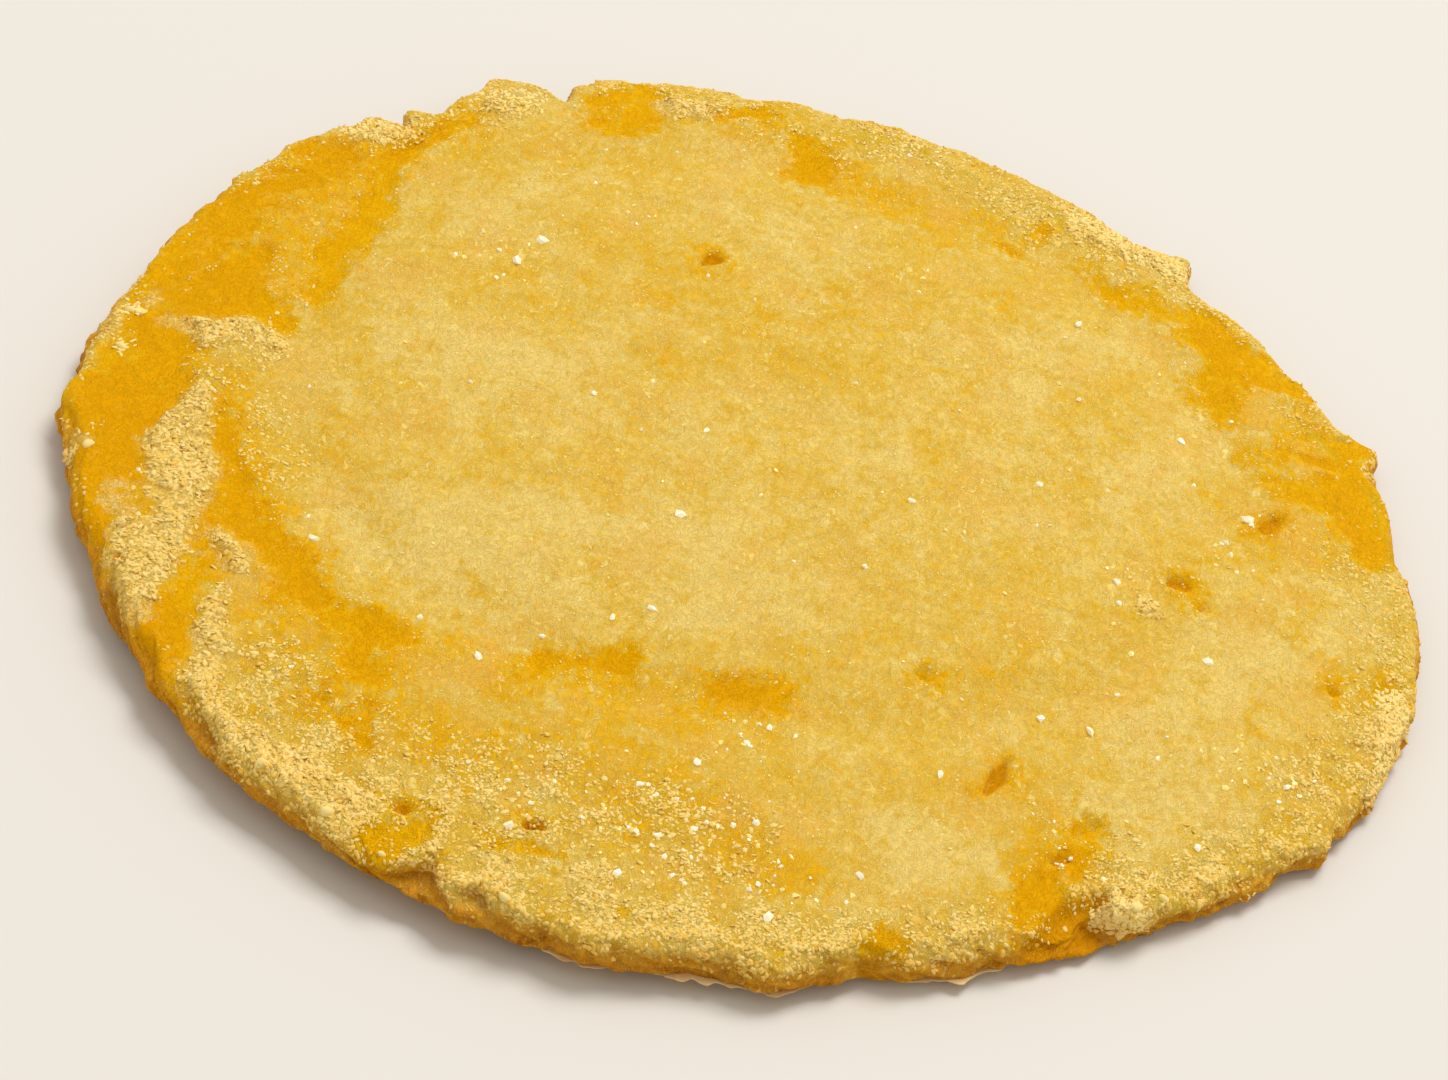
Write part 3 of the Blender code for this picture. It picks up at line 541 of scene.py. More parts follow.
def nick_depth(angle, share):
    """How far the nicks cut in, or the tongues reach out, at an angle and height."""
    total = np.zeros_like(angle)
    for nick in NICKS:
        away = np.radians(angle_apart(angle, nick.angle)) * COOKIE_RADIUS
        bite = np.exp(-((away / nick.half_width) ** 2))
        total += nick.depth * bite * smooth_step(
            share, nick.starts - NICK_BLEND, nick.starts + NICK_BLEND
        )
    return total


def underside_height(reach, angle):
    """The underside: flat, then curling up to the edge, most at the front left."""
    away = angle_apart(angle, FRONT_LEFT_ANGLE) / FRONT_LEFT_SPREAD
    lift = EDGE_LIFT + FRONT_LEFT_LIFT * np.exp(-(away**2))
    curl = np.clip((reach - CURL_STARTS) / (1.0 - CURL_STARTS), 0.0, None)
    return lift * curl**CURL_POWER


class Skin(NamedTuple):
    """What the skin does at each point: the distance in from the edge of the nearest bare
    place and of the nearest thick crust, in millimetres, and the strengths, from 0 to 1,
    of stain, paleness, olive tinge, crumbliness and dents."""

    bare: np.ndarray
    crust: np.ndarray
    stain: np.ndarray
    pale: np.ndarray
    olive: np.ndarray
    crumbly: np.ndarray
    dent: np.ndarray


def skin_at(x, y):
    """The skin's state over the top. Its patches are read at points that wander, so that
    their outlines do too, and the edges of the bare and crusty ones are ragged."""
    wandering_x = x + layered_noise(x, y, SKIN_WANDER, SEED + 10)
    wandering_y = y + layered_noise(x, y, SKIN_WANDER, SEED + 12)
    rags = layered_noise(x, y, SKIN_RAGS, SEED + 14)
    dent = strongest(x, y, (*PITS, CHIP, FLAP_STEP), DENT_FADE)
    bare = deepest_in(wandering_x, wandering_y, BARE) + rags
    bare = np.maximum(bare, deepest_in(x, y, (*PITS, CHIP)) + RAGS_ON_PITS * rags)
    crust = deepest_in(wandering_x, wandering_y, CRUST) + rags
    stain = strongest(wandering_x + rags, wandering_y - rags, STAINS, STAIN_FADE)
    pale = strongest(wandering_x, wandering_y, PALE, PALE_FADE)
    olive = strongest(wandering_x, wandering_y, OLIVE, OLIVE_FADE)
    crumbly = strongest(wandering_x, wandering_y, CRUMBLY, CRUMBLY_FADE)
    return Skin(bare, crust, stain, pale, olive, crumbly, dent)


def top_relief(x, y, skin):
    """Everything that stands above or below the plain dome of the top."""
    middle = np.hypot(
        (x - MIDDLE_CENTRE[0]) / MIDDLE_RADII[0], (y - MIDDLE_CENTRE[1]) / MIDDLE_RADII[1]
    )
    past_ring = (middle - 1.0) * min(MIDDLE_RADII)
    ring = -RING_DEPTH * np.exp(-((past_ring / RING_WIDTH) ** 2))
    border = BORDER_RISE * smooth_step(past_ring, 0.0, 2.0 * RING_WIDTH)
    bare = smooth_step(skin.bare, -SKIN_EDGE, SKIN_EDGE)
    crust = smooth_step(skin.crust, -SKIN_EDGE, SKIN_EDGE)
    lip = SKIN_LIP * np.exp(-(((skin.bare + LIP_OUT) / LIP_WIDTH) ** 2))
    lumps = layered_noise(x, y, LUMPS, SEED)
    relief = ring + border + (1.0 - LUMPS_LOST_ON_BARE * bare) * lumps + lip
    return relief + CRUST_RISE * crust * (1.0 - bare) - SKIN_THICKNESS * bare - skin.dent


def edge_thickness(angle):
    """The thickness just inside the shoulder: least at the thin side and front left."""
    away = angle_apart(angle, THIN_SIDE_ANGLE) / THIN_SIDE_SPREAD
    thin_side = THIN_SIDE_DROP * np.exp(-(away**2))
    away = angle_apart(angle, FRONT_LEFT_ANGLE) / FRONT_LEFT_DROP_SPREAD
    return EDGE_THICKNESS - thin_side - FRONT_LEFT_DROP * np.exp(-(away**2))


def cookie_form(reach, share, angle):
    """Points of the cookie at shares of its radius and of its height, and the skin there:
    a plate that thins outwards, curls up at its edge and carries the top's relief."""
    turn = np.radians(angle)
    edge_x, edge_y = COOKIE_RADIUS * np.cos(turn), COOKIE_RADIUS * np.sin(turn)
    rags_x, rags_y = edge_x + RAGS_DRIFT[0] * share, edge_y + RAGS_DRIFT[1] * share
    rags = layered_noise(rags_x, rags_y, EDGE_RAGS, SEED + 20)
    radius = outline_radius(angle) - edge_inset(share)
    radius += (rags - nick_depth(angle, share)) * smooth_step(reach, RAGS_START, 1.0)
    x, y = reach * radius * np.cos(turn), reach * radius * np.sin(turn)
    whole = reach * radius / outline_radius(angle)
    thin = edge_thickness(angle)
    thickness = thin + (CENTRE_THICKNESS - thin) * (1.0 - whole**THINNING_POWER)
    skin = skin_at(x, y)
    z = underside_height(whole, angle) + share * thickness
    z += share**2 * top_relief(x, y, skin)
    return np.column_stack([x, y, z]), skin


# Grids, meshes and pieces

def disc_grid(cells):
    """A square grid laid over a disc: a point's reach is its larger coordinate, and its
    angle runs evenly along each side. Returns reach, angle, quads and the border loop."""
    line = np.linspace(-1.0, 1.0, cells + 1)
    u, v = np.meshgrid(line, line)
    reach = np.maximum(np.abs(u), np.abs(v))
    wide = np.abs(u) >= np.abs(v)
    with np.errstate(divide="ignore", invalid="ignore"):
        across = np.where(u < 0, 180.0, 0.0) + 45.0 * v / u
        upright = np.where(v < 0, 270.0, 90.0) - 45.0 * u / v
    angle = np.where(wide, across, upright)
    angle[cells // 2, cells // 2] = 0.0
    number = np.arange((cells + 1) ** 2).reshape(cells + 1, cells + 1)
    quads = np.stack(
        [number[:-1, :-1], number[:-1, 1:], number[1:, 1:], number[1:, :-1]], axis=-1
    )
    border = np.concatenate(
        [number[:-1, -1], number[-1, :0:-1], number[:0:-1, 0], number[0, :-1]]
    )
    return reach.ravel(), angle.ravel(), quads.reshape(-1, 4), border


def edge_shares():
    """Shares of the height down the edge, at even steps along its section."""
    share = np.linspace(1.0, 0.0, EDGE_SAMPLES)
    steps = np.hypot(np.diff(edge_inset(share)), np.diff(share) * EDGE_THICKNESS)
    walked = np.concatenate([[0.0], np.cumsum(steps)])
    return np.interp(np.linspace(0.0, walked[-1], EDGE_ROWS + 1), walked, share)[1:]


def ring_quads(rings):
    """Quads between each ring of points and the next one below it."""
    upper, lower = rings[:-1], rings[1:]
    after_upper, after_lower = np.roll(upper, -1, axis=1), np.roll(lower, -1, axis=1)
    return np.stack([upper, lower, after_lower, after_upper], axis=-1).reshape(-1, 4)


def quad_normals(points, quads):
    """Each quad's normal, as long as twice its area: the cross of its diagonals."""
    a, b, c, d = (points[quads[:, corner]] for corner in range(4))
    return np.cross(c - a, d - b)


def point_normals(points, quads):
    """Unit normals at points: the sum of the normals of the quads that meet there."""
    normals = quad_normals(points, quads)
    total = np.column_stack(
        [
            sum(
                np.bincount(quads[:, corner], normals[:, axis], len(points))
                for corner in range(4)
            )
            for axis in range(3)
        ]
    )
    return total / np.maximum(np.linalg.norm(total, axis=1, keepdims=True), TINY)


def make_piece(name, points, faces, material, smooth=True, **values):
    """A finished piece from points in millimetres, lists of faces and values at points.
    It rides on the root body and stands for the cookie's solid."""
    mesh = bpy.data.meshes.new(name)
    mesh.from_pydata(points * MM, [], faces)
    mesh.polygons.foreach_set("use_smooth", np.full(len(mesh.polygons), smooth))
    for key, value in values.items():
        mesh.attributes.new(key, "FLOAT", "POINT").data.foreach_set("value", value)
    mesh.materials.append(material)
    mesh.update()
    piece = bpy.data.objects.new(name, mesh)
    bpy.context.scene.collection.objects.link(piece)
    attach(piece, "root")
    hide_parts("lemon_cookie")
    return piece


class Body(NamedTuple):
    """The body's surface: points, quads, the fan of triangles that closes its underside,
    the skin at each point, how bare, crusty, clumped and far down the wall it is, from 0
    to 1, and its shares of the radius and of the height."""

    points: np.ndarray
    quads: np.ndarray
    fan: np.ndarray
    skin: Skin
    bare: np.ndarray
    crust: np.ndarray
    clump: np.ndarray
    wall: np.ndarray
    reach: np.ndarray
    share: np.ndarray


def body_surface():
    """The cookie's closed surface: a disc grid for the top, then rings down the edge and
    in along the underside to one middle point, with fine crumb along its normals."""
    reach, angle, top_quads, border = disc_grid(TOP_CELLS)
    reach = reach * (1.0 + TOP_CROWDING * (1.0 - reach))
    shares = edge_shares()
    inward = np.linspace(1.0, 0.0, UNDERSIDE_ROWS + 2)[1:-1]
    row_reach = np.concatenate([np.ones(len(shares)), inward])
    row_share = np.concatenate([shares, np.zeros(len(inward))])
    around = angle[border]
    rows = len(row_reach)
    columns = len(border)
    all_reach = np.concatenate([reach, np.repeat(row_reach, columns), [0.0]])
    all_share = np.concatenate([np.ones(len(reach)), np.repeat(row_share, columns), [0.0]])
    all_angle = np.concatenate([angle, np.tile(around, rows), [0.0]])
    points, skin = cookie_form(all_reach, all_share, all_angle)
    lower = len(reach) + np.arange(rows * columns).reshape(rows, columns)
    rings = np.vstack([border, lower])
    quads = np.vstack([top_quads, ring_quads(rings)])
    middle = np.full(columns, len(points) - 1)
    fan = np.column_stack([rings[-1], middle, np.roll(rings[-1], -1)])
    wall = 1.0 - all_share
    crust = smooth_step(skin.crust, -SKIN_EDGE, SKIN_EDGE)
    bare = smooth_step(skin.bare, -SKIN_EDGE, SKIN_EDGE)
    coarse = np.maximum(crust, skin.crumbly)
    share_of_crumb = CRUMB_ON_SKIN + (CRUMB_ON_CRUST - CRUMB_ON_SKIN) * coarse
    share_of_crumb += (CRUMB_ON_BARE - share_of_crumb) * bare
    share_of_crumb += (CRUMB_ON_WALL - share_of_crumb) * smooth_step(wall, *WALL_CRUMB_GROWS)
    share_of_crumb[all_share == 0.0] = 0.0
    normals = point_normals(points, quads)
    clump = smooth_step(space_layers(points, CLUMPS, SEED + 36), *CLUMP_EDGES)
    rise = CLUMP_RISE * (clump - 0.5) * coarse * (1.0 - bare) * (all_share > 0.0)
    rise += share_of_crumb * space_layers(points, FINE_CRUMB, SEED + 30)
    points = points + normals * rise[:, None]
    return Body(points, quads, fan, skin, bare, crust, clump, wall, all_reach, all_share)


# Grains

class Seats(NamedTuple):
    """Places on the body where grains sit: a point, the surface's unit normal, and how far
    down the wall it is."""

    points: np.ndarray
    normals: np.ndarray
    wall: np.ndarray


def scatter_seats(body, density, count, draws):
    """Random seats. A quad is drawn in proportion to its area times the density at its
    corners, and a place on it by blending its corners."""
    normals = quad_normals(body.points, body.quads)
    size = np.linalg.norm(normals, axis=1)
    weight = size * density[body.quads].mean(axis=1)
    chosen = draws.choice(len(weight), count, p=weight / weight.sum())
    corners = body.quads[chosen]
    u, v = draws.random((2, count))
    shares = np.stack([(1 - u) * (1 - v), u * (1 - v), u * v, (1 - u) * v], axis=1)
    points = np.einsum("nc,nca->na", shares, body.points[corners])
    wall = np.einsum("nc,nc->n", shares, body.wall[corners])
    return Seats(points, normals[chosen] / size[chosen, None], wall)


def bead(rings, sides):
    """A round bead of radius 1 that lies along x: rings of points between two poles, each
    turned by half a side from the last one. Returns its points and triangles."""
    slope = np.pi * np.arange(1, rings + 1) / (rings + 1)
    turn = 2.0 * np.pi * (np.arange(sides) + 0.5 * np.arange(rings)[:, None]) / sides
    along = np.broadcast_to(np.cos(slope)[:, None], turn.shape)
    out = np.sin(slope)[:, None]
    middle = np.stack([along, out * np.cos(turn), out * np.sin(turn)], axis=-1)
    points = np.vstack([[1, 0, 0], middle.reshape(-1, 3), [-1, 0, 0]])
    upper = 1 + np.arange(rings * sides).reshape(rings, sides)
    after = np.roll(upper, -1, axis=1)
    first, last = np.zeros(sides, int), np.full(sides, len(points) - 1)
    faces = [
        np.stack([first, upper[0], after[0]], axis=-1),
        np.stack([last, after[-1], upper[-1]], axis=-1),
        np.stack([upper[:-1], upper[1:], after[:-1]], axis=-1).reshape(-1, 3),
        np.stack([after[:-1], upper[1:], after[1:]], axis=-1).reshape(-1, 3),
    ]
    return points, np.vstack(faces)


class Laying(NamedTuple):
    """How grains differ and lie: how lumpy they are, how far they bend sideways, how deep
    they sink as a share of their half height, and how far they tilt."""

    lumpiness: float
    bend: float
    sink: float
    tilt: float


def lay_grains(shape, seats, half_sizes, laying, draws):
    """Copies of a shape on seats. Each is stretched to its own half sizes along, across
    and up, made lumpy, bent sideways by bend times the square of its length, sunk by a
    share of its half height, turned at random about its seat's normal and tilted.
    Returns all points and all faces."""
    unit, faces = shape
    count = len(seats.points)
    points = unit * (1.0 + laying.lumpiness * draws.uniform(-1.0, 1.0, (count, len(unit), 1)))
    bends = laying.bend * draws.uniform(-1.0, 1.0, (count, 1))
    points[:, :, 1] += bends * points[:, :, 0] ** 2
    points[:, :, 2] -= laying.sink
    points = points * half_sizes[:, None, :]
    up = seats.normals + laying.tilt * draws.normal(size=(count, 3))
    up /= np.linalg.norm(up, axis=1, keepdims=True)
    along = np.cross(up, draws.normal(size=(count, 3)))
    along /= np.linalg.norm(along, axis=1, keepdims=True)
    frames = np.stack([along, np.cross(up, along), up], axis=1)
    points = seats.points[:, None, :] + points @ frames
    faces = faces + len(unit) * np.arange(count)[:, None, None]
    return points.reshape(-1, 3), faces.reshape(-1, faces.shape[-1])


def grain_sizes(count, lengths, width_share, height_share, draws):
    """Half sizes of grains: a random half length, and shares of it across and up."""
    length = draws.uniform(*lengths, count)
    width = length * draws.uniform(*width_share, count)
    return np.column_stack([length, width, width * draws.uniform(*height_share, count)])


class Grains(NamedTuple):
    """One kind of grain: its piece's name, its count, its shape, its half lengths in
    millimetres, its width as a share of its length and height as a share of its width, and
    the range of its tone, from golden at 0 to palest at 2."""

    name: str
    count: int
    shape: tuple
    lengths: tuple
    width_share: tuple
    height_share: tuple
    tones: tuple


CRUST_GRAINS = Grains(
    "crust_grains", 3600, bead(3, 6), (0.12, 0.32), (0.42, 0.70), (0.30, 0.46), (0.3, 1.1)
)
BORDER_GRAINS = Grains(
    "border_crumb", 7600, bead(2, 5), (0.08, 0.22), (0.50, 0.80), (0.36, 0.55), (0.2, 1.2)
)
LACE = Grains(
    "bare_edge_lace", 1400, bead(2, 5), (0.06, 0.14), (0.6, 1.0), (0.4, 0.6), (0.4, 1.0)
)
FINE_GRAINS = Grains(
    "fine_crumb", 6000, bead(2, 5), (0.05, 0.12), (0.6, 1.0), (0.4, 0.6), (0.6, 1.4)
)
RIM_CRUMBS = Grains(
    "rim_crumbs", 7000, bead(2, 5), (0.09, 0.24), (0.50, 0.80), (0.5, 0.8), (0.0, 1.1)
)
RIM_FLAKES = Grains(
    "rim_flakes", 1800, bead(4, 6), (0.10, 0.30), (0.40, 0.70), (0.35, 0.55), (1.0, 1.6)
)

# Large crumbs: where each lies in plan, and their sizes
LARGE_CRUMBS = (
    (-21.7, -31.4), (-35.8, 4.0), (-35.5, 0.6), (-8.4, -38.2), (-36.2, -8.8), (-17.6, -33.2),
    (-14.6, -36.2), (24.4, -27.6), (26.4, -26.2), (15.9, 32.0), (21.4, 29.6), (-18.4, 31.9),
)
LARGE_CRUMB_HALF = (0.28, 0.46)
LARGE_CRUMB_SHARES = (0.6, 0.9)
LARGE_CRUMB_TONE = 1.2

# How the grains, the large crumbs and the sugar lie
GRAIN_LAYING = Laying(lumpiness=0.22, bend=0.6, sink=0.50, tilt=0.25)
LARGE_CRUMB_LAYING = Laying(lumpiness=0.10, bend=0.4, sink=0.2, tilt=0.5)
CRYSTAL_LAYING = Laying(lumpiness=0.3, bend=0.0, sink=0.0, tilt=0.7)

# Where crumb gathers: its share between the clumps and off the crumbly border, how far it
# keeps off amber places, and the parts of the rim where it lies
CRUST_OFF_CLUMPS = 0.45
BORDER_OFF_CLUMPS = 0.12
FINE_OFF_CLUMPS = 0.3
RIM_OFF_CLUMPS = 0.2
CRUST_ON_BORDER = 0.08
FINE_ON_SMOOTH = 0.35
LACE_OUT = 0.35
LACE_WIDTH = 0.35
LACE_ABOVE = 0.5
LEVEL_DENT = 0.02
RIM_REACHES = (0.95, 1.0)
RIM_SHARES = (0.40, 0.80)
STAIN_AS_BARE = 0.7
KEPT_OFF_AMBER = 0.96
FLAKE_FADE = 0.5
FLAKES_ABOVE = 0.3


def add_grains(kind, body, density, finish, number):
    """A piece of one kind of grain, strewn over the body with this density."""
    draws = np.random.default_rng(SEED + 100 + number)
    seats = scatter_seats(body, density, kind.count, draws)
    sizes = grain_sizes(
        kind.count, kind.lengths, kind.width_share, kind.height_share, draws
    )
    points, faces = lay_grains(kind.shape, seats, sizes, GRAIN_LAYING, draws)
    corners = len(kind.shape[0])
    tone = np.repeat(draws.uniform(*kind.tones, kind.count), corners)
    wall = np.repeat(seats.wall, corners)
    make_piece(kind.name, points, faces.tolist(), finish, tone=tone, wall=wall)


def gathered(value, least):
    """A share that goes from least to 1 as a value goes from 0 to 1."""
    return least + (1.0 - least) * value


def add_crumb(body):
    """The crumb that stands on the surface, kind by kind: grains of crust, the border's
    coarse crumb, lace along the edges of the bare places, fine crumb all over the skin,
    coarse crumb and flakes on the rim, and a few large crumbs. A kind's density is how far
    the surface there is of its sort, times how far it is gathered in the clumps."""
    skin, clump = body.skin, body.clump
    top = (body.share == 1.0) * (1.0 - body.bare)
    crusty = np.maximum(body.crust, CRUST_ON_BORDER * skin.crumbly)
    edge = np.exp(-(((skin.bare + LACE_OUT) / LACE_WIDTH) ** 2))
    amber = np.maximum(body.bare, STAIN_AS_BARE * skin.stain)
    rim = smooth_step(body.reach, *RIM_REACHES) * smooth_step(body.share, *RIM_SHARES)
    rim = rim * (1.0 - KEPT_OFF_AMBER * amber)
    fine = top * gathered(skin.crumbly, FINE_ON_SMOOTH)
    flaky = strongest(body.points[:, 0], body.points[:, 1], FLAKY_RIM, FLAKE_FADE)
    finish = grain_finish()
    for kind, density, number in (
        (CRUST_GRAINS, top * crusty * gathered(clump, CRUST_OFF_CLUMPS), 0),
        (BORDER_GRAINS, top * skin.crumbly * gathered(clump, BORDER_OFF_CLUMPS), 5),
        (LACE, edge * (body.share > LACE_ABOVE) * (skin.dent < LEVEL_DENT), 1),
        (FINE_GRAINS, fine * gathered(clump, FINE_OFF_CLUMPS), 2),
        (RIM_CRUMBS, rim * gathered(clump, RIM_OFF_CLUMPS), 3),
        (RIM_FLAKES, flaky * (body.share > FLAKES_ABOVE), 4),
    ):
        add_grains(kind, body, density, finish, number)
    draws = np.random.default_rng(SEED + 110)
    seats = seats_at(body, LARGE_CRUMBS)
    shares = LARGE_CRUMB_SHARES
    sizes = grain_sizes(len(LARGE_CRUMBS), LARGE_CRUMB_HALF, shares, shares, draws)
    points, faces = lay_grains(bead(5, 8), seats, sizes, LARGE_CRUMB_LAYING, draws)
    tone, wall = np.full(len(points), LARGE_CRUMB_TONE), np.zeros(len(points))
    make_piece("large_crumbs", points, faces.tolist(), finish, tone=tone, wall=wall)


# Thin skin of the underside that shows below the front edge: its bits, as (angle, half
# width along the edge, how far out it reaches), and its size
UNDER_BITS = (
    (-42.7, 0.9, 0.50),
    (-46.5, 0.9, 0.60),
    (-64.0, 3.8, 0.82),
    (-78.9, 1.8, 0.75),
    (-86.0, 3.0, 0.58),
    (-96.0, 2.6, 0.62),
    (-108.0, 3.0, 0.30),
)
UNDER_ANGLES = (-118.0, -38.0)
UNDER_STEPS = 900
UNDER_HALF_THICKNESS = 0.06
UNDER_TUCK = 0.9
UNDER_CURL = 0.16
UNDER_SECTION = 12
UNDER_BACK = 0.5
UNDER_LIMITS = (-0.6, 1.0)
UNDER_LOWEST = 0.02
UNDER_TAPER = 0.25
UNDER_TIP = 0.01
UNDER_RAGS = ((1.1, 0.12), (0.4, 0.14))


def add_under_skin():
    """A flat strip along the foot of the front edge: its section is a thin ellipse from
    under the foot to a ragged outer edge that curls up a little. Its ends taper off."""
    angle = np.linspace(*UNDER_ANGLES, UNDER_STEPS)
    turn = np.radians(angle)
    taper = np.sin(np.linspace(0.0, np.pi, UNDER_STEPS)) ** UNDER_TAPER + UNDER_TIP
    out = np.full(UNDER_STEPS, -UNDER_BACK)
    for centre, half_width, reach in UNDER_BITS:
        away = np.radians(angle_apart(angle, centre)) * COOKIE_RADIUS / half_width
        out += (reach + UNDER_BACK) * np.exp(-(away**2))
    edge_x, edge_y = COOKIE_RADIUS * np.cos(turn), COOKIE_RADIUS * np.sin(turn)
    out = np.minimum(out, UNDER_LIMITS[1])
    out += layered_noise(edge_x, edge_y, UNDER_RAGS, SEED + 70)
    foot = outline_radius(angle) - FOOT_INSET - nick_depth(angle, np.zeros(UNDER_STEPS))
    foot += layered_noise(edge_x, edge_y, EDGE_RAGS, SEED + 20)
    half = (UNDER_TUCK + np.maximum(out, UNDER_LIMITS[0])) / 2.0 * taper
    middle = foot - UNDER_TUCK + half
    phase = np.linspace(0.0, 2.0 * np.pi, UNDER_SECTION, endpoint=False)[:, None]
    radius = middle + half * np.cos(phase)
    past_foot = np.maximum(radius - foot, 0.0)
    height = underside_height(1.0, angle) + UNDER_HALF_THICKNESS * taper * np.sin(phase)
    z = np.maximum(height + UNDER_CURL * past_foot, UNDER_LOWEST)
    points = np.stack([radius * np.cos(turn), radius * np.sin(turn), z], axis=-1)
    number = np.arange(points.shape[0] * UNDER_STEPS).reshape(points.shape[:2])
    before, after = number, np.roll(number, -1, axis=0)
    quads = np.stack(
        [before[:, :-1], before[:, 1:], after[:, 1:], after[:, :-1]], axis=-1
    ).reshape(-1, 4)
    ends = [number[:, 0].tolist(), number[::-1, -1].tolist()]
    make_piece(
        "under_skin", points.reshape(-1, 3), [*quads.tolist(), *ends], under_finish()
    )


# Sugar: places where it is thick, as patches with their density, and single large grains
SUGAR_CLUSTERS = (
    Patch(((-9.0, -27.6, 2.0), (-4.0, -28.6, 2.8), (3.0, -29.6, 3.0)), 1.0),
    Patch(((3.0, -25.0, 1.5), (2.0, -20.6, 1.5)), 0.5),
    Patch(((4.0, -31.4, 1.5), (8.0, -31.6, 1.5)), 0.6),
    Patch(((17.8, -20.6, 0.8), (19.4, -23.4, 1.0)), 1.4),
    Patch(((20.4, -1.6, 1.2),), 1.0),
    Patch(((26.6, 2.6, 1.6), (27.6, 7.4, 1.0)), 0.6),
    Patch(((22.6, -9.4, 1.2),), 0.7),
    Patch(((26.0, -13.6, 2.2), (31.6, -13.6, 1.6)), 0.5),
    Patch(((34.4, -4.4, 1.4),), 0.6),
    Patch(((-16.4, 15.0, 2.6),), 0.45),
    Patch(((-9.2, 21.8, 1.0),), 0.6),
    Patch(((6.6, 34.4, 1.4),), 0.5),
    Patch(((-30.0, -2.0, 1.4),), 0.5),
    Patch(((0.0, 0.0, 34.0),), 0.02),
)
SUGAR_COUNT = 330
SUGAR_HALF_SIZES = (0.07, 0.20)
LARGE_SUGAR = (
    (-15.8, 14.6), (-16.5, 12.8), (-14.7, 17.2), (-3.2, 2.7), (-3.4, -5.0), (-22.1, -12.6),
    (-9.2, -16.4), (-5.8, -14.3), (-3.9, -12.9), (-15.6, -16.8), (-12.0, -19.3), (-2.3, -26.2),
    (-1.0, -29.2), (0.3, -23.5), (2.6, -21.4), (3.6, -19.7), (4.6, -31.2), (5.3, -33.3),
    (9.7, -28.9), (12.8, -20.5), (17.6, -14.0), (20.2, -14.0), (20.6, -2.0), (26.8, -20.7),
    (26.1, -6.0), (31.1, -14.0), (8.9, 0.5), (6.8, -5.7), (16.3, 21.1), (17.1, 13.7),
    (23.2, 12.8), (27.5, 7.3), (15.5, 5.0), (-8.3, -31.0), (-2.5, -32.5), (3.8, -27.0),
)
LARGE_SUGAR_HALF = (0.22, 0.38)
SUGAR_WIDTHS = (0.6, 1.0)
SUGAR_HEIGHTS = (0.7, 1.0)
SUGAR_FADE = 0.8


def seats_at(body, places):
    """Seats at the body's top points nearest to places in plan."""
    tops = np.flatnonzero(body.share == 1.0)
    plan = body.points[tops, :2]
    nearest = [tops[np.argmin(np.hypot(*(plan - place).T))] for place in places]
    normals = point_normals(body.points, body.quads)[nearest]
    return Seats(body.points[nearest], normals, body.wall[nearest])


def add_sugar(body):
    """Sugar grains: small flat-sided crystals, thick in the clusters and more or less
    white, and the large white ones."""
    draws = np.random.default_rng(SEED + 120)
    density = strongest(body.points[:, 0], body.points[:, 1], SUGAR_CLUSTERS, SUGAR_FADE)
    density *= body.share == 1.0
    finish = sugar_finish()
    few = scatter_seats(body, density, SUGAR_COUNT, draws)
    large = seats_at(body, LARGE_SUGAR)
    crystal = bead(2, 5)
    for name, seats, halves, least_white in (
        ("sugar_grains", few, SUGAR_HALF_SIZES, 0.0),
        ("large_sugar_grains", large, LARGE_SUGAR_HALF, 1.0),
    ):
        count = len(seats.points)
        sizes = grain_sizes(count, halves, SUGAR_WIDTHS, SUGAR_HEIGHTS, draws)
        points, faces = lay_grains(crystal, seats, sizes, CRYSTAL_LAYING, draws)
        white = np.maximum(draws.random(count), least_white)
        white = np.repeat(white, len(crystal[0]))
        make_piece(name, points, faces.tolist(), finish, smooth=False, white=white)


# Shader maths

class Value:
    """A shader socket: arithmetic on it adds Math nodes to its tree."""

    def __init__(self, finish, socket):
        self.finish, self.socket = finish, socket

    def math(self, operation, *others):
        inputs = {place: other for place, other in enumerate((self, *others))}
        return self.finish.node("ShaderNodeMath", {"operation": operation}, inputs)

    def __add__(self, other):
        return self.math("ADD", other)

    def __sub__(self, other):
        return self.math("SUBTRACT", other)

    def __rsub__(self, other):
        return (self * -1.0) + other

    def __mul__(self, other):
        return self.math("MULTIPLY", other)

    __radd__ = __add__
    __rmul__ = __mul__

    def __abs__(self):
        return self.math("ABSOLUTE")


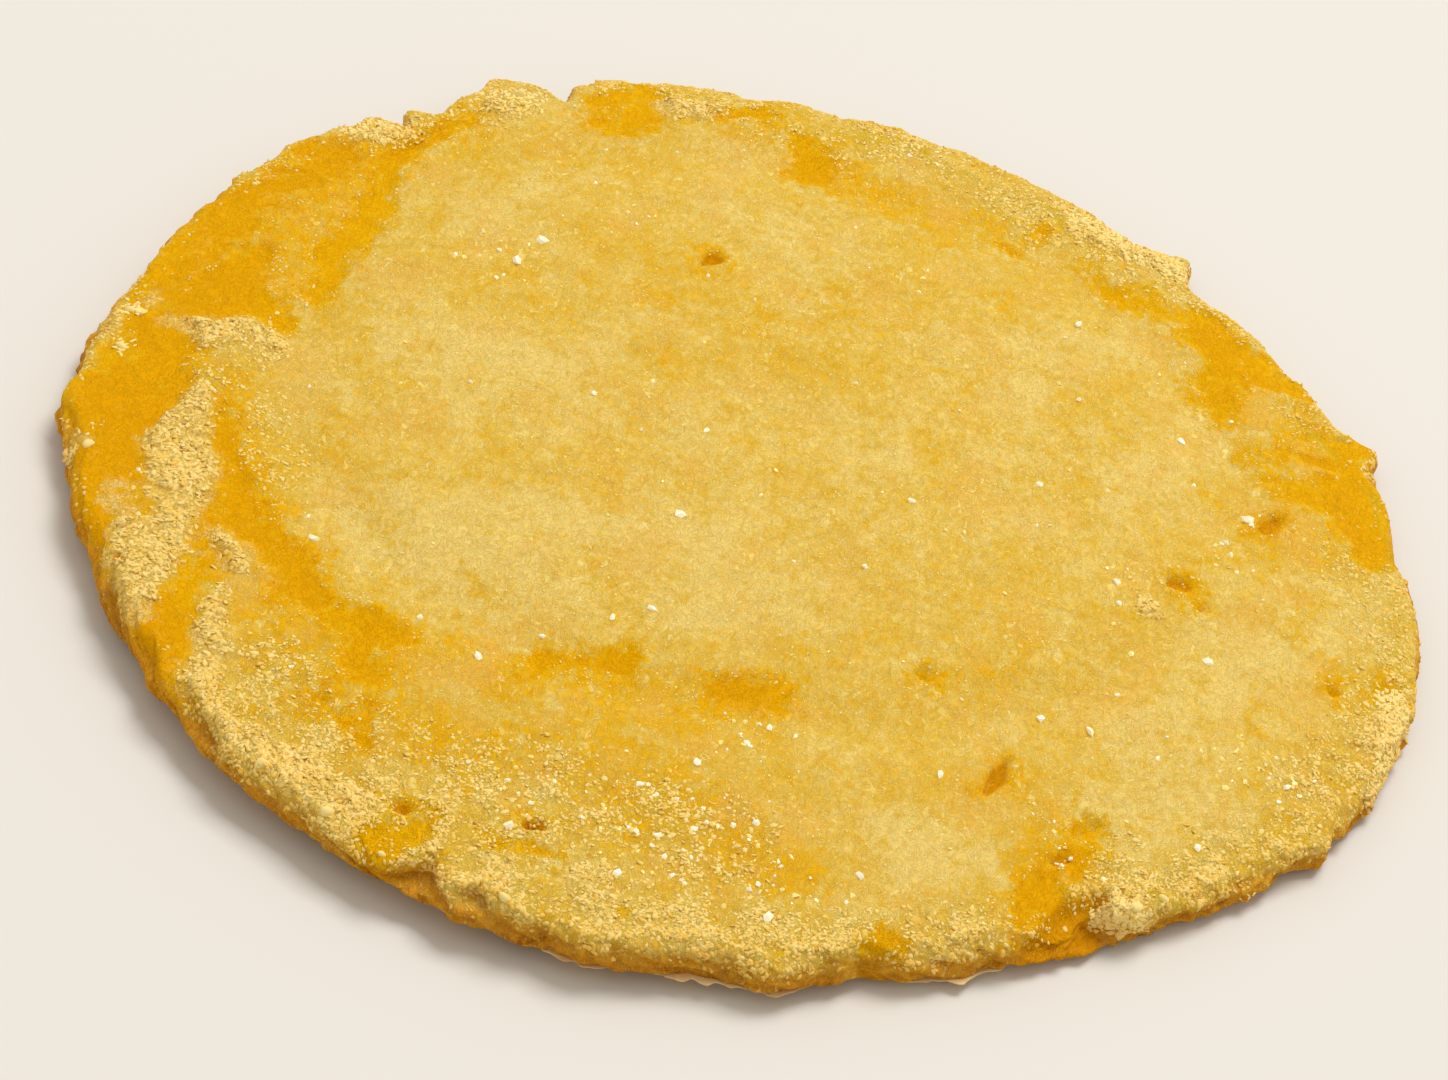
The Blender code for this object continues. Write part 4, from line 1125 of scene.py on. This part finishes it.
class Finish:
    """A material with a Principled shader, and the nodes that feed it. A run below 1 draws
    its textures out from front to back."""

    def __init__(self, name, roughness, run=1.0):
        self.material = bpy.data.materials.new(name)
        self.material.use_nodes = True
        self.tree = self.material.node_tree
        self.shader = self.tree.nodes["Principled BSDF"]
        self.set(self.shader, {"Roughness": roughness, "Metallic": 0.0})
        place = self.node("ShaderNodeTexCoord", output="Object")
        inputs = {0: place, 1: (1.0, run, 1.0)}
        self.place = self.node("ShaderNodeVectorMath", {"operation": "MULTIPLY"}, inputs)

    def set(self, node, inputs):
        """Gives a node's sockets their values or links."""
        for key, value in inputs.items():
            if isinstance(value, Value):
                self.tree.links.new(value.socket, node.inputs[key])
            else:
                node.inputs[key].default_value = value

    def node(self, kind, settings=None, inputs=None, output=0):
        """Adds a node of any kind: its settings first, then its sockets."""
        node = self.tree.nodes.new(kind)
        for key, value in (settings or {}).items():
            setattr(node, key, value)
        self.set(node, inputs or {})
        return Value(self, node.outputs[output])

    def attribute(self, name):
        """A value that the mesh carries at its points."""
        return self.node("ShaderNodeAttribute", {"attribute_name": name}, output="Fac")

    def noise(self, size, detail=2.0, distortion=0.0):
        """Noise from 0 to 1 whose features are about this many millimetres across."""
        inputs = {
            "Vector": self.place,
            "Scale": 1.0 / (size * MM),
            "Detail": detail,
            "Distortion": distortion,
        }
        return self.node("ShaderNodeTexNoise", inputs=inputs)

    def step(self, value, low, high):
        """0 below low, 1 above high, and smooth between them."""
        settings = {"interpolation_type": "SMOOTHSTEP"}
        inputs = {"Value": value, "From Min": low, "From Max": high}
        return self.node("ShaderNodeMapRange", settings, inputs)

    def mix(self, share, first, second):
        """A colour that goes from the first to the second as share goes from 0 to 1."""
        inputs = {"Factor": share, 6: first, 7: second}
        return self.node("ShaderNodeMix", {"data_type": "RGBA"}, inputs, output=2)

    def ramp(self, value, stops):
        """A colour for a value, blended evenly between its stops (value, colour)."""
        start, base = stops[0]
        for end, tone in stops[1:]:
            inputs = {"Value": value, "From Min": start, "From Max": end}
            share = self.node("ShaderNodeMapRange", inputs=inputs)
            start, base = end, self.mix(share, base, tone)
        return base

    def bump(self, height, depth):
        """A normal for a height from 0 to 1 that stands for this many millimetres."""
        inputs = {"Height": height, "Distance": depth * MM, "Strength": 1.0}
        return self.node("ShaderNodeBump", inputs=inputs)


def colour(red, green, blue):
    """A screen colour, from 0 to 255 in each channel, as light."""
    channels = np.array([red, green, blue]) / 255.0
    light = np.where(
        channels <= 0.04045, channels / 12.92, ((channels + 0.055) / 1.055) ** 2.4
    )
    return (*light, 1.0)


# Colours
CREAM_LIGHT = colour(248, 228, 146)
CREAM = colour(233, 203, 116)
GOLD = colour(225, 185, 74)
WARM_GOLD = colour(225, 174, 36)
# Pale amber for the ridges on bare places, partly a painted highlight
AMBER_RIDGE_HIGHLIGHT = colour(236, 184, 16)
AMBER = colour(230, 173, 2)
AMBER_DEEP = colour(229, 166, 0)
AMBER_DARK = colour(224, 157, 0)
HOLLOW_AMBER = colour(212, 142, 6)
# Pale cream for the ridges on the skin, partly a painted highlight
RIDGE_PALE_HIGHLIGHT = colour(244, 212, 108)
# Pores: amber crumb with painted shade in them
PORE_SHADE_GOLD = colour(224, 168, 38)
PEACH = colour(232, 186, 96)
CRUST_SHADE = colour(220, 160, 44)
CRUST_TAN = colour(232, 186, 84)
CRUST_CREAM = colour(246, 216, 136)
GRAIN_GOLD = colour(234, 186, 74)
GRAIN_TAN = colour(240, 202, 104)
GRAIN_CREAM = colour(248, 220, 140)
OLIVE_YELLOW = colour(206, 172, 30)
# The side's colours: baked gold and brown, darkened as painted shade towards the foot
WALL_GOLD = colour(224, 160, 46)
WALL_BROWN = colour(202, 132, 24)
WALL_DARK_SHADE = colour(160, 88, 6)
UNDER_TAN = colour(216, 164, 92)
UNDER_PINK = colour(246, 226, 178)
GLOSS_TINT = colour(255, 226, 150)
SUGAR_WHITE = colour(252, 248, 228)
SUGAR_CREAM = colour(250, 238, 190)
SUGAR_GOLD = colour(248, 224, 130)

# The crumb's colour as its skin thins: cream where it is thick, amber where it is gone
SKIN_TONES = (
    (-0.45, CREAM), (0.0, GOLD), (0.40, WARM_GOLD),
    (0.75, AMBER), (1.05, AMBER_DEEP), (1.5, AMBER_DARK),
)
GRAIN_TONES = ((0.2, GRAIN_GOLD), (0.7, GRAIN_TAN), (1.3, GRAIN_CREAM), (1.9, CREAM_LIGHT))
CRUST_TONES = ((-0.30, CRUST_CREAM), (0.10, CRUST_TAN), (0.60, CRUST_SHADE))
WALL_TONES_AND_SHADE = ((-0.30, WALL_GOLD), (0.15, WALL_BROWN), (0.60, WALL_DARK_SHADE))

# Sizes of the body's textures, in millimetres, and how much they are drawn out in depth
BROAD, SOFT, LACY, FINE = 5.0, 1.7, 0.50, 0.17
HUE_SIZE = 3.4
RIDGE_SIZE = 0.42
PORE_SIZE = 0.34
FLECK_SIZE = 0.42
CLUSTER_SIZE = 2.6
BODY_RUN = 0.72

# Where each of the body's tones begins and is whole
BARE_EDGES = (-1.3, 0.7)
CRUST_EDGES = (-0.4, 0.4)
WALL_EDGES = (0.14, 0.50)
OLIVE_EDGES = (0.1, 0.9)
HOLLOW_EDGES = (0.10, 0.24)
BLUSH_EDGES = (0.50, 0.66)
RIDGE_EDGES = (0.12, 0.01)
PORE_EDGES = (0.52, 0.36)
FLECK_EDGES = (0.60, 0.68)
CLUSTER_EDGES = (0.48, 0.60)

# How much of each tone is laid on
STAIN_THINS = 0.80
GAP_SHADE_THINS = 0.4
PALE_THICKENS = 0.40
BLUSH_SHARE = 0.45
OLIVE_SHARE = 0.75
PORE_SHADE_SHARE = 0.45
HOLLOW_SHARE = 0.75

# Light in the crumb and on it
SCATTER_SHARE = 0.35
SCATTER_REACH = (1.0, 0.55, 0.12)
SCATTER_DEPTH = 0.7
CRUMB_RELIEF = 0.10
# Painted sparkle: the sugar's own faint glow stands in for glints of light on it
PAINTED_SUGAR_SPARKLE = 0.15


def body_finish():
    """Moist crumb under a skin: its colour follows how thin the skin is, which goes from
    thick and cream, through gold, to bare and amber. The thinness is the body's own
    values with noise over it. Pale ridges with a painted highlight, darker pores with
    painted shade and cream flecks, partly painted glints, cover it all. The side darkens
    towards the floor, partly as painted shade."""
    finish = Finish("lemon_crumb_body", 0.55, run=BODY_RUN)
    broad = finish.noise(BROAD) - 0.5
    soft = finish.noise(SOFT) - 0.5
    lacy = finish.noise(LACY, detail=3.0, distortion=0.5) - 0.5
    fine = finish.noise(FINE, distortion=0.6) - 0.5
    wormy = finish.noise(RIDGE_SIZE, detail=1.0, distortion=2.0)
    ridges = finish.step(abs(wormy * 2.0 - 1.0), *RIDGE_EDGES)
    pores = finish.step(finish.noise(PORE_SIZE, distortion=0.8), *PORE_EDGES)
    hue = finish.noise(HUE_SIZE)
    clusters = finish.step(finish.noise(CLUSTER_SIZE, detail=1.0), *CLUSTER_EDGES)
    # Flecks: partly sugar dust, partly painted glints
    flecks = finish.step(finish.noise(FLECK_SIZE, distortion=1.0), *FLECK_EDGES) * clusters
    crumbly = finish.attribute("crumbly")
    bare = finish.step(finish.attribute("bare") + soft * 2.4 + lacy * 3.0, *BARE_EDGES)
    crust = finish.step(finish.attribute("crust") + lacy * 2.4, *CRUST_EDGES)
    down = finish.attribute("wall")
    wall = finish.step(down + lacy * 0.50, *WALL_EDGES)
    covered = 1.0 - bare
    thin = broad * 0.9 + soft * 1.1 + lacy * 1.3 + fine * 0.4
    stain = finish.step(finish.attribute("stain") + soft * 0.8 + lacy * 0.8, 0.0, 1.0)
    # Between the clumps of the crumbly border the colour goes towards amber: partly crumb showing
    # through, partly painted warm shade between the crumbs
    gap_amber_and_shade = (0.8 - finish.attribute("clump")) * crumbly
    skin = thin + stain * STAIN_THINS + gap_amber_and_shade * GAP_SHADE_THINS
    skin = skin - finish.attribute("pale") * PALE_THICKENS
    skin = finish.ramp(skin * (covered * 0.6 + 0.4) + bare, SKIN_TONES)
    blush = finish.step(hue, *BLUSH_EDGES) * covered * BLUSH_SHARE
    base = finish.mix(blush, skin, PEACH)
    base = finish.mix(crust, base, finish.ramp(fine * 1.6 + lacy * 1.2, CRUST_TONES))
    olive = finish.step(finish.attribute("olive") + soft + lacy, *OLIVE_EDGES)
    base = finish.mix(olive * OLIVE_SHARE, base, OLIVE_YELLOW)
    # Down the side the colour goes from baked gold to brown, then to painted shade near the floor;
    # bare places take it too
    wall_tone_and_shade = finish.ramp(thin * 0.8 + (down - 0.5) * 0.7, WALL_TONES_AND_SHADE)
    base = finish.mix(wall * (covered * 0.2 + 0.8), base, wall_tone_and_shade)
    coarse = (crumbly * 0.60 + 0.65) * (1.0 - stain * 0.30)
    # Pores darkened: partly amber crumb, partly painted shade in the tiny hollows
    base = finish.mix(pores * coarse * covered * PORE_SHADE_SHARE, base, PORE_SHADE_GOLD)
    # Fine ridges lightened: partly pale crumb, partly painted highlight on the wrinkles
    pale_ridge_highlight = finish.mix(bare, RIDGE_PALE_HIGHLIGHT, AMBER_RIDGE_HIGHLIGHT)
    ridge_highlight_share = (covered * 0.4 + 0.45) * coarse * (1.0 - wall * 0.5)
    base = finish.mix(ridges * ridge_highlight_share, base, pale_ridge_highlight)
    # Cream flecks: sugar dust and painted glints
    base = finish.mix(flecks * (covered * 0.45 + 0.06), base, CREAM_LIGHT)
    hollow = finish.step(finish.attribute("dent") + lacy * 0.08, *HOLLOW_EDGES)
    base = finish.mix(hollow * HOLLOW_SHARE, base, HOLLOW_AMBER)
    base = finish.mix(finish.attribute("under"), base, UNDER_TAN)
    height = (fine * 0.5 + ridges * 0.5 + lacy * 0.6) * (crumbly * 0.9 + crust * 0.5 + 0.7)
    finish.set(
        finish.shader,
        {
            "Base Color": base,
            "Specular IOR Level": 0.03,
            "Specular Tint": GLOSS_TINT,
            "Subsurface Weight": SCATTER_SHARE,
            "Subsurface Radius": SCATTER_REACH,
            "Subsurface Scale": SCATTER_DEPTH * MM,
            "Normal": finish.bump(height, CRUMB_RELIEF),
        },
    )
    return finish.material


def grain_finish():
    """Crumb from golden to pale by each grain's own tone, and browner down the wall."""
    finish = Finish("lemon_crumb_grains", 0.65)
    tone = finish.attribute("tone")
    grain = finish.noise(0.12)
    base = finish.ramp(tone + grain * 0.4, GRAIN_TONES)
    base = finish.mix(finish.attribute("wall") * 0.7, base, WALL_GOLD)
    finish.set(
        finish.shader,
        {
            "Base Color": base,
            "Specular IOR Level": 0.15,
            "Specular Tint": GLOSS_TINT,
        },
    )
    return finish.material


def under_finish():
    """Thin dry skin, pale and a little pink, with faint streaks."""
    finish = Finish("under_skin", 0.6)
    streak = finish.noise(0.5, detail=3.0)
    base = finish.mix(streak, UNDER_TAN, UNDER_PINK)
    finish.set(finish.shader, {"Base Color": base, "Specular IOR Level": 0.2})
    return finish.material


def sugar_finish():
    """Clear sugar: pale, smooth facets with a faint cloudiness, white or taking on the
    colour of the crumb below, with a faint painted glow that stands in for sparkle."""
    finish = Finish("sugar", 0.12)
    cloud = finish.noise(0.10)
    white = finish.step(finish.attribute("white"), 0.35, 0.75)
    base = finish.mix(cloud, SUGAR_WHITE, SUGAR_CREAM)
    base = finish.mix(white, SUGAR_GOLD, base)
    finish.set(
        finish.shader,
        {
            "Base Color": base,
            "Roughness": cloud * 0.2 + 0.08,
            "Specular IOR Level": 0.8,
            # Painted sparkle: a faint glow in the crystal's white or gold
            "Emission Color": finish.mix(white, SUGAR_GOLD, SUGAR_WHITE),
            "Emission Strength": PAINTED_SUGAR_SPARKLE,
        },
    )
    return finish.material


# Stage, light and camera
# The camera looks down at the cookie and is rolled, as the photo was taken
PHOTO_WIDTH, PHOTO_HEIGHT = 1448, 1080
SENSOR_WIDTH = 36.0
CAMERA_FALL = 39.5
CAMERA_ROLL = 12.5
CAMERA_LENGTH_PX = 5700.0
CAMERA_DISTANCE = 313.4
AIM_POINT = (0.0, 0.0, 2.0)
AIM_PX = (748.4, 502.6)

FLOOR_COLOUR = colour(226, 222, 216)
FLOOR_SIZE = 3.0
SURROUND_TINT = (1.0, 0.965, 0.88, 1.0)
SURROUND_STRENGTH = 0.61
KEY_AZIMUTH = 30.0
KEY_HEIGHT_ANGLE = 62.0
KEY_DISTANCE = 1.6
KEY_SIZE = 0.80
KEY_POWER = 16.8
KEY_TINT = (1.0, 0.985, 0.965)


def add_camera():
    """A long lens whose AIM_POINT falls on AIM_PX of the photo's frame."""
    fall, roll = math.radians(CAMERA_FALL), math.radians(CAMERA_ROLL)
    level = np.array([1.0, 0.0, 0.0])
    upright = np.array([0.0, math.sin(fall), math.cos(fall)])
    forward = np.array([0.0, math.cos(fall), -math.sin(fall)])
    right = math.cos(roll) * level + math.sin(roll) * upright
    up = math.cos(roll) * upright - math.sin(roll) * level
    mm_per_px = CAMERA_DISTANCE / CAMERA_LENGTH_PX
    aside = (AIM_PX[0] - PHOTO_WIDTH / 2) * mm_per_px
    above = (PHOTO_HEIGHT / 2 - AIM_PX[1]) * mm_per_px
    place = np.array(AIM_POINT) - forward * CAMERA_DISTANCE - right * aside - up * above
    data = bpy.data.cameras.new("camera")
    data.sensor_width = SENSOR_WIDTH
    data.lens = CAMERA_LENGTH_PX / PHOTO_WIDTH * SENSOR_WIDTH
    data.clip_start = 0.01
    camera = bpy.data.objects.new("camera", data)
    matrix = np.eye(4)
    matrix[:3, 0], matrix[:3, 1], matrix[:3, 2] = right, up, -forward
    matrix[:3, 3] = place * MM
    camera.matrix_world = Matrix(matrix.tolist())
    bpy.context.scene.collection.objects.link(camera)
    bpy.context.scene.camera = camera


def add_key():
    """A square soft light aimed at the cookie. Azimuth 0 is behind it, 90 to its right."""
    data = bpy.data.lights.new("key", "AREA")
    data.size = KEY_SIZE
    data.energy = KEY_POWER
    data.color = KEY_TINT
    light = bpy.data.objects.new("key", data)
    turn, rise = math.radians(KEY_AZIMUTH), math.radians(KEY_HEIGHT_ANGLE)
    light.location = (
        KEY_DISTANCE * math.sin(turn) * math.cos(rise),
        KEY_DISTANCE * math.cos(turn) * math.cos(rise),
        KEY_DISTANCE * math.sin(rise),
    )
    light.rotation_euler = (math.radians(90.0) - rise, 0.0, math.pi - turn)
    bpy.context.scene.collection.objects.link(light)


def add_stage():
    """A plain pale floor, a key light from behind and a soft, even surround."""
    finish = Finish("floor", 0.85)
    finish.set(finish.shader, {"Base Color": FLOOR_COLOUR})
    mesh = bpy.data.meshes.new("floor")
    half = FLOOR_SIZE / 2
    corners = [(-half, -half, 0), (half, -half, 0), (half, half, 0), (-half, half, 0)]
    mesh.from_pydata(corners, [], [(0, 1, 2, 3)])
    mesh.materials.append(finish.material)
    floor = bpy.data.objects.new("floor", mesh)
    bpy.context.scene.collection.objects.link(floor)
    world = bpy.data.worlds.new("studio")
    world.use_nodes = True
    surround = world.node_tree.nodes["Background"].inputs
    surround["Color"].default_value = SURROUND_TINT
    surround["Strength"].default_value = SURROUND_STRENGTH
    bpy.context.scene.world = world
    add_key()
    bpy.context.scene.view_settings.view_transform = "Standard"


def main():
    add_camera()
    add_stage()
    body = body_surface()
    make_piece(
        "cookie_body",
        body.points,
        [*body.quads.tolist(), *body.fan.tolist()],
        body_finish(),
        bare=np.clip(body.skin.bare, -DEEPEST_VALUE, DEEPEST_VALUE),
        crust=np.clip(body.skin.crust, -DEEPEST_VALUE, DEEPEST_VALUE),
        stain=body.skin.stain,
        pale=body.skin.pale,
        olive=body.skin.olive,
        crumbly=body.skin.crumbly,
        dent=body.skin.dent,
        clump=body.clump,
        wall=body.wall,
        under=(body.share == 0.0).astype(float),
    )
    add_crumb(body)
    add_under_skin()
    add_sugar(body)


main()
